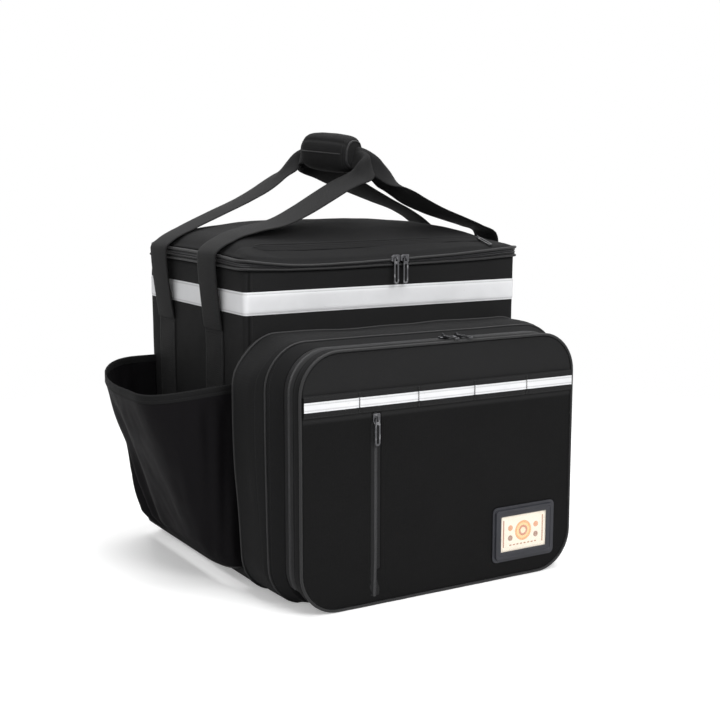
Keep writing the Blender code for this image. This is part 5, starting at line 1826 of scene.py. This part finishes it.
@dataclass
class Grip:
    """The padded wrap that holds both handles: a sewn bolster with piped ends.

    Attributes:
        turn: how far its front end is turned to the right, in degrees.
        tip: how far its front end hangs down, in degrees.
        voxel: the size of the cloth's mesh while it is blown up.
        cap: how far the blown cloth may move.
        channels: angles round it where panels are sewn together, in degrees from its right side.
    """

    length: float = 0.09
    width: float = 0.04
    height: float = 0.0505
    middle: tuple[float, float, float] = (0.0, 0.1362, 0.4903)
    turn: float = 14.0
    tip: float = 4.5
    voxel: float = 0.003
    cap: float = 0.0045
    channels: Floats = (36.0, 144.0)

    @property
    def axes(self) -> Points:
        """The grip's own axes, y to the rear, as columns."""
        turn, tip = math.radians(self.turn), math.radians(self.tip)
        return np.array(Matrix.Rotation(turn, 3, "Z") @ Matrix.Rotation(tip, 3, "X"))

    def place(self, points: Points) -> Points:
        """Turn points from the grip's own axes to where it hangs."""
        return points @ self.axes.T + np.array(self.middle)

    def ring(self, run: float, shrink: float = 0.0, sides: int = 64) -> Points:
        """One cross-section of the bolster.

        Args:
            run: its place, from -1 at the front end to 1 at the rear.
            shrink: how far inside the cloth it lies.
            sides: how many places there are.

        Returns:
            A row of places in the grip's own axes.
        """
        power = 5.5 if run < 0 else 4.0
        scale = max(1 - abs(run) ** power, 0.0) ** (1 / power)
        angles = np.linspace(-math.pi / 2, 1.5 * math.pi, sides, endpoint=False)
        cosine, sine = np.cos(angles), np.sin(angles)
        radius = (np.abs(cosine) ** 2.5 + np.abs(sine) ** 2.5) ** (-1 / 2.5)
        x = radius * cosine * (self.width / 2 * scale - shrink)
        z = radius * sine * (self.height / 2 * scale - shrink)
        return np.column_stack([x, np.full(sides, run * (self.length / 2 - shrink)), z])

    def remesh(self, item: Item) -> None:
        """Give the bolster an even mesh."""
        finer = item.modifiers.new("even mesh", "REMESH")
        finer.mode = "VOXEL"
        finer.voxel_size = self.voxel
        settle(item)

    def blow_up(self, item: Item) -> None:
        """Fill the bolster: let the cloth swell over its padding, and keep the result."""
        before = np.array([vertex.co for vertex in item.data.vertices])
        cloth = item.modifiers.new("cloth", "CLOTH").settings
        cloth.use_pressure = True
        cloth.uniform_pressure_force = cloth.tension_stiffness = cloth.compression_stiffness = 6.0
        cloth.effector_weights.gravity = 0.0
        cloth.quality = 6
        scene = bpy.context.scene
        for step in range(1, 21):
            scene.frame_set(step)
        settle(item)
        scene.frame_set(1)
        after = np.array([vertex.co for vertex in item.data.vertices])
        moved = after - before
        size = np.linalg.norm(moved, axis=1)[:, None]
        after = before + moved * np.minimum(1.0, self.cap / np.maximum(size, 1e-9))
        item.data.vertices.foreach_set("co", after.astype(np.float32).ravel())

    def own(self, item: Item) -> Points:
        """The piece's vertices in the grip's own axes."""
        places = np.array([vertex.co for vertex in item.data.vertices])
        return (places - SHIFT - np.array(self.middle)) @ self.axes

    def sew(self, item: Item) -> None:
        """Press the seams between the panels into the padding, and map the cloth round it."""
        places = self.own(item)
        angle = np.arctan2(places[:, 2] / self.height, places[:, 0] / self.width)
        dip = np.zeros(len(places))
        for channel in self.channels:
            away = np.angle(np.exp(1j * (angle - math.radians(channel))))
            dip += 0.0011 * np.exp(-((away / 0.1) ** 2))
        dip -= 0.0005 * unevenness(places, 0.02, 125.0)
        inward = places * np.array((1.0, 0.0, 1.0))
        inward /= np.maximum(np.linalg.norm(inward, axis=1), 0.004)[:, None]
        ends = 1 - smooth_step(np.abs(places[:, 1]), self.length * 0.4, self.length * 0.52)
        places -= inward * (dip * ends)[:, None]
        item.data.vertices.foreach_set("co", (self.place(places) + SHIFT).astype(np.float32).ravel())
        item.data.update()
        layer = item.data.uv_layers.new(name="cloth")
        girth = (self.width + self.height) / 4
        for face in item.data.polygons:
            corners = places[list(face.vertices)]
            centre = math.atan2(*(corners.mean(0)[[2, 0]]))
            turns = np.arctan2(corners[:, 2], corners[:, 0])
            turns = centre + np.angle(np.exp(1j * (turns - centre)))
            for loop, turn, run in zip(face.loop_indices, turns, corners[:, 1]):
                layer.uv[loop].vector = (girth * turn, run + self.length / 2)
        item.data.shade_smooth()

    def along(self, item: Item, angle: float, reach: float, lift: float, steps: int = 40) -> Points:
        """A path on the padding, along the grip.

        Args:
            item: the finished padding.
            angle: where the path lies round it, in degrees.
            reach: how far it runs each way, as a share of the half length.
            lift: how far it stands off.
            steps: how many places it has.

        Returns:
            The places, in the box's frame.
        """
        mesh = item.data
        faces = [face.vertices for face in mesh.polygons]
        tree = BVHTree.FromPolygons([spot.co for spot in mesh.vertices], faces)
        path = []
        for run in np.linspace(-reach, reach, steps):
            way = np.array((math.cos(math.radians(angle)), 0.0, math.sin(math.radians(angle))))
            centre = np.array((0.0, run * self.length / 2, 0.0))
            outside = self.place(np.array([centre + way * 0.06, centre])) + SHIFT
            inward = Vector(outside[1] - outside[0]).normalized()
            hit, normal, _, _ = tree.ray_cast(Vector(outside[0]), inward)
            path.append(hit + normal * lift)
        return np.array(path) - SHIFT

    def build(self) -> None:
        """Build the bolster, the welts of its panels and the piping of its ends."""
        runs = np.sin(np.linspace(-math.pi / 2, math.pi / 2, 46))
        runs[0], runs[-1] = -0.9999, 0.9999
        points = np.array([self.ring(float(run), 0.0016) for run in runs])
        wrap = net("grip_padding", self.place(points), wrap=True)
        close_ends(wrap, points.shape[1])
        self.remesh(wrap)
        self.blow_up(wrap)
        wrap.modifiers.new("finer", "SUBSURF").levels = 1
        self.sew(settle(wrap))
        rows = (Row(0.008), Row(self.length - 0.008))
        # Painted light: the grip uses a lighter copy of the oxford's colour.
        finish = replace(OXFORD.with_rows("oxford_grip", *rows), colour=OXFORD_PAINTED_LIGHTER)
        dress(wrap, finish, "left_handle", "grip_wrap")
        for index, angle in enumerate((180.0, 0.0)):
            path = self.along(wrap, angle, 0.8, -0.0002)
            welt = tube("grip_welt_%d" % (index + 1), path, 0.0008, closed=False, sides=8)
            dress(welt, PIPING, "left_handle")
        for label, run in (("front", -0.93), ("rear", 0.93)):
            path = []
            for angle in np.linspace(0, 360, 48, endpoint=False):
                path.append(self.along(wrap, float(angle), abs(run), 0.0002, 2)[0 if run < 0 else 1])
            dress(tube("grip_binding_" + label, np.array(path), 0.0013, sides=10), PIPING, "left_handle")


# Zip hardware and other rigid pieces


def dress_solids() -> None:
    """Give the rigid solids, which keep their own shapes, a finish and soft edges."""
    finishes = {name: (GUNMETAL, 0.00022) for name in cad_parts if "slider" in name or "_pull" in name}
    finishes |= {"card_frame": (MOULDED, 0.0004), "card_window": (CLEAR, 0.0)}
    finishes |= {"id_card": (Card(), 0.0), "base_board": (BOARD, 0.0)}
    for name, (finish, bevel) in finishes.items():
        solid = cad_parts[name]
        solid.data.materials.clear()
        solid.data.materials.append(finish.material())
        if bevel:
            edge = solid.modifiers.new("soft edges", "BEVEL")
            edge.width = bevel
            edge.segments = 2
            edge.limit_method = "ANGLE"
            edge.angle_limit = math.radians(35)
        log.info("%s: solid kept", name)


# The studio


@dataclass(frozen=True)
class Lamp:
    """A square soft lamp: its place, its side in metres and its power in watts."""

    name: str
    place: Floats
    size: float
    power: float

    def build(self, target: Floats) -> None:
        """Hang the lamp so that it faces a target."""
        data = bpy.data.lights.new(self.name, "AREA")
        data.size = self.size
        data.energy = self.power
        lamp = place_item(self.name, data)
        lamp.location = self.place
        lamp.rotation_mode = "QUATERNION"
        lamp.rotation_quaternion = (Vector(target) - Vector(self.place)).to_track_quat("-Z", "Y")


@dataclass
class Studio:
    """Camera, lights, floor and surroundings; the camera's yaw to the right and pitch down are in degrees."""

    eye: Floats = (-0.76897, -1.23021, 0.46699)
    yaw: float = 30.72
    pitch: float = 8.606
    lens: float = 62.334
    target: Floats = (0.0, -0.02, 0.2)
    lamps: tuple[Lamp, ...] = (
        Lamp("key", (0.15, -1.9, 1.7), 1.3, 40.0),
        Lamp("fill", (-1.6, -1.2, 1.3), 1.4, 8.0),
        Lamp("top", (0.1, 0.2, 2.3), 1.8, 44.0),
    )

    def build_camera(self) -> None:
        """The camera of the photograph."""
        data = bpy.data.cameras.new("camera")
        data.lens = self.lens
        data.sensor_width = 36.0
        data.clip_end = 50.0
        camera = place_item("camera", data)
        camera.location = Vector(self.eye) + Vector((0, FRONT_WALL, 0))
        camera.rotation_euler = (math.radians(90 - self.pitch), 0.0, math.radians(-self.yaw))
        bpy.context.scene.camera = camera

    def build_floor(self) -> None:
        """A pale floor that keeps the bag's shadow and meets a white surround."""
        mesh = bpy.data.meshes.new("floor")
        corners = [(-12, -12, 0), (12, -12, 0), (12, 12, 0), (-12, 12, 0)]
        mesh.from_pydata(corners, [], [(0, 1, 2, 3)])
        floor = place_item("floor", mesh)
        dye = Dye("pale_floor")
        rays = dye.add("ShaderNodeLightPath", {}, {}, "Is Camera Ray")
        place = dye.solid_map()
        x, y = dye.split(place, 0), dye.split(place, 1)
        away = (x * x + y * y).math("SQRT")
        dye.set(Base_Color=(0.9, 0.9, 0.9), Roughness=0.9, Specular_IOR_Level=0.1, Emission_Strength=1.0)
        dye.set(Emission_Color=dye.tint(rays, (0.0, 0.0, 0.0), (0.3, 0.3, 0.3)))
        dye.set(Alpha=away.smooth(1.3, 0.55))
        mesh.materials.append(dye.material)

    def build_surround(self) -> None:
        """White behind the bag and in its reflections, and a plain grey light from all round."""
        world = bpy.data.worlds.new("surround")
        bpy.context.scene.world = world
        world.use_nodes = True
        sky = Nodes(world.node_tree)
        kinds = ("Is Camera Ray", "Is Glossy Ray", "Is Transmission Ray")
        camera, glossy, through = [sky.add("ShaderNodeLightPath", {}, {}, kind) for kind in kinds]
        plain = sky.tree.nodes["Background"]
        sky.feed(plain.inputs["Color"], (1.0, 1.0, 1.0))
        sky.feed(plain.inputs["Strength"], 0.32)
        white = sky.add("ShaderNodeBackground", {}, {"Color": (1.0, 1.0, 1.0), "Strength": 1.0})
        seen = camera.math("MAXIMUM", glossy).math("MAXIMUM", through)
        mixed = sky.add("ShaderNodeMixShader", {}, {0: seen, 1: Signal(sky, plain.outputs[0]), 2: white})
        sky.feed(sky.tree.nodes["World Output"].inputs[0], mixed)

    def build(self) -> None:
        """Set up the whole studio."""
        bpy.context.scene.view_settings.view_transform = "Standard"
        self.build_camera()
        for lamp in self.lamps:
            lamp.build(self.target)
        self.build_floor()
        self.build_surround()


def main() -> None:
    """Build the bag and the studio round it."""
    logging.basicConfig(level=logging.INFO, format="%(message)s")
    box = Box()
    box.build()
    lid = Lid(box)
    lid.build()
    compartment = Compartment()
    compartment.build()
    Flap().build(compartment)
    for side, front_run, rear_run in ((-1, LEFT_FRONT, LEFT_REAR), (1, RIGHT_FRONT, RIGHT_REAR)):
        CupPocket(side, box).build()
        Handle(side, box, lid, front_run, rear_run).build()
    Grip().build()
    dress_solids()
    Studio().build()


if __name__ == "__main__":
    main()
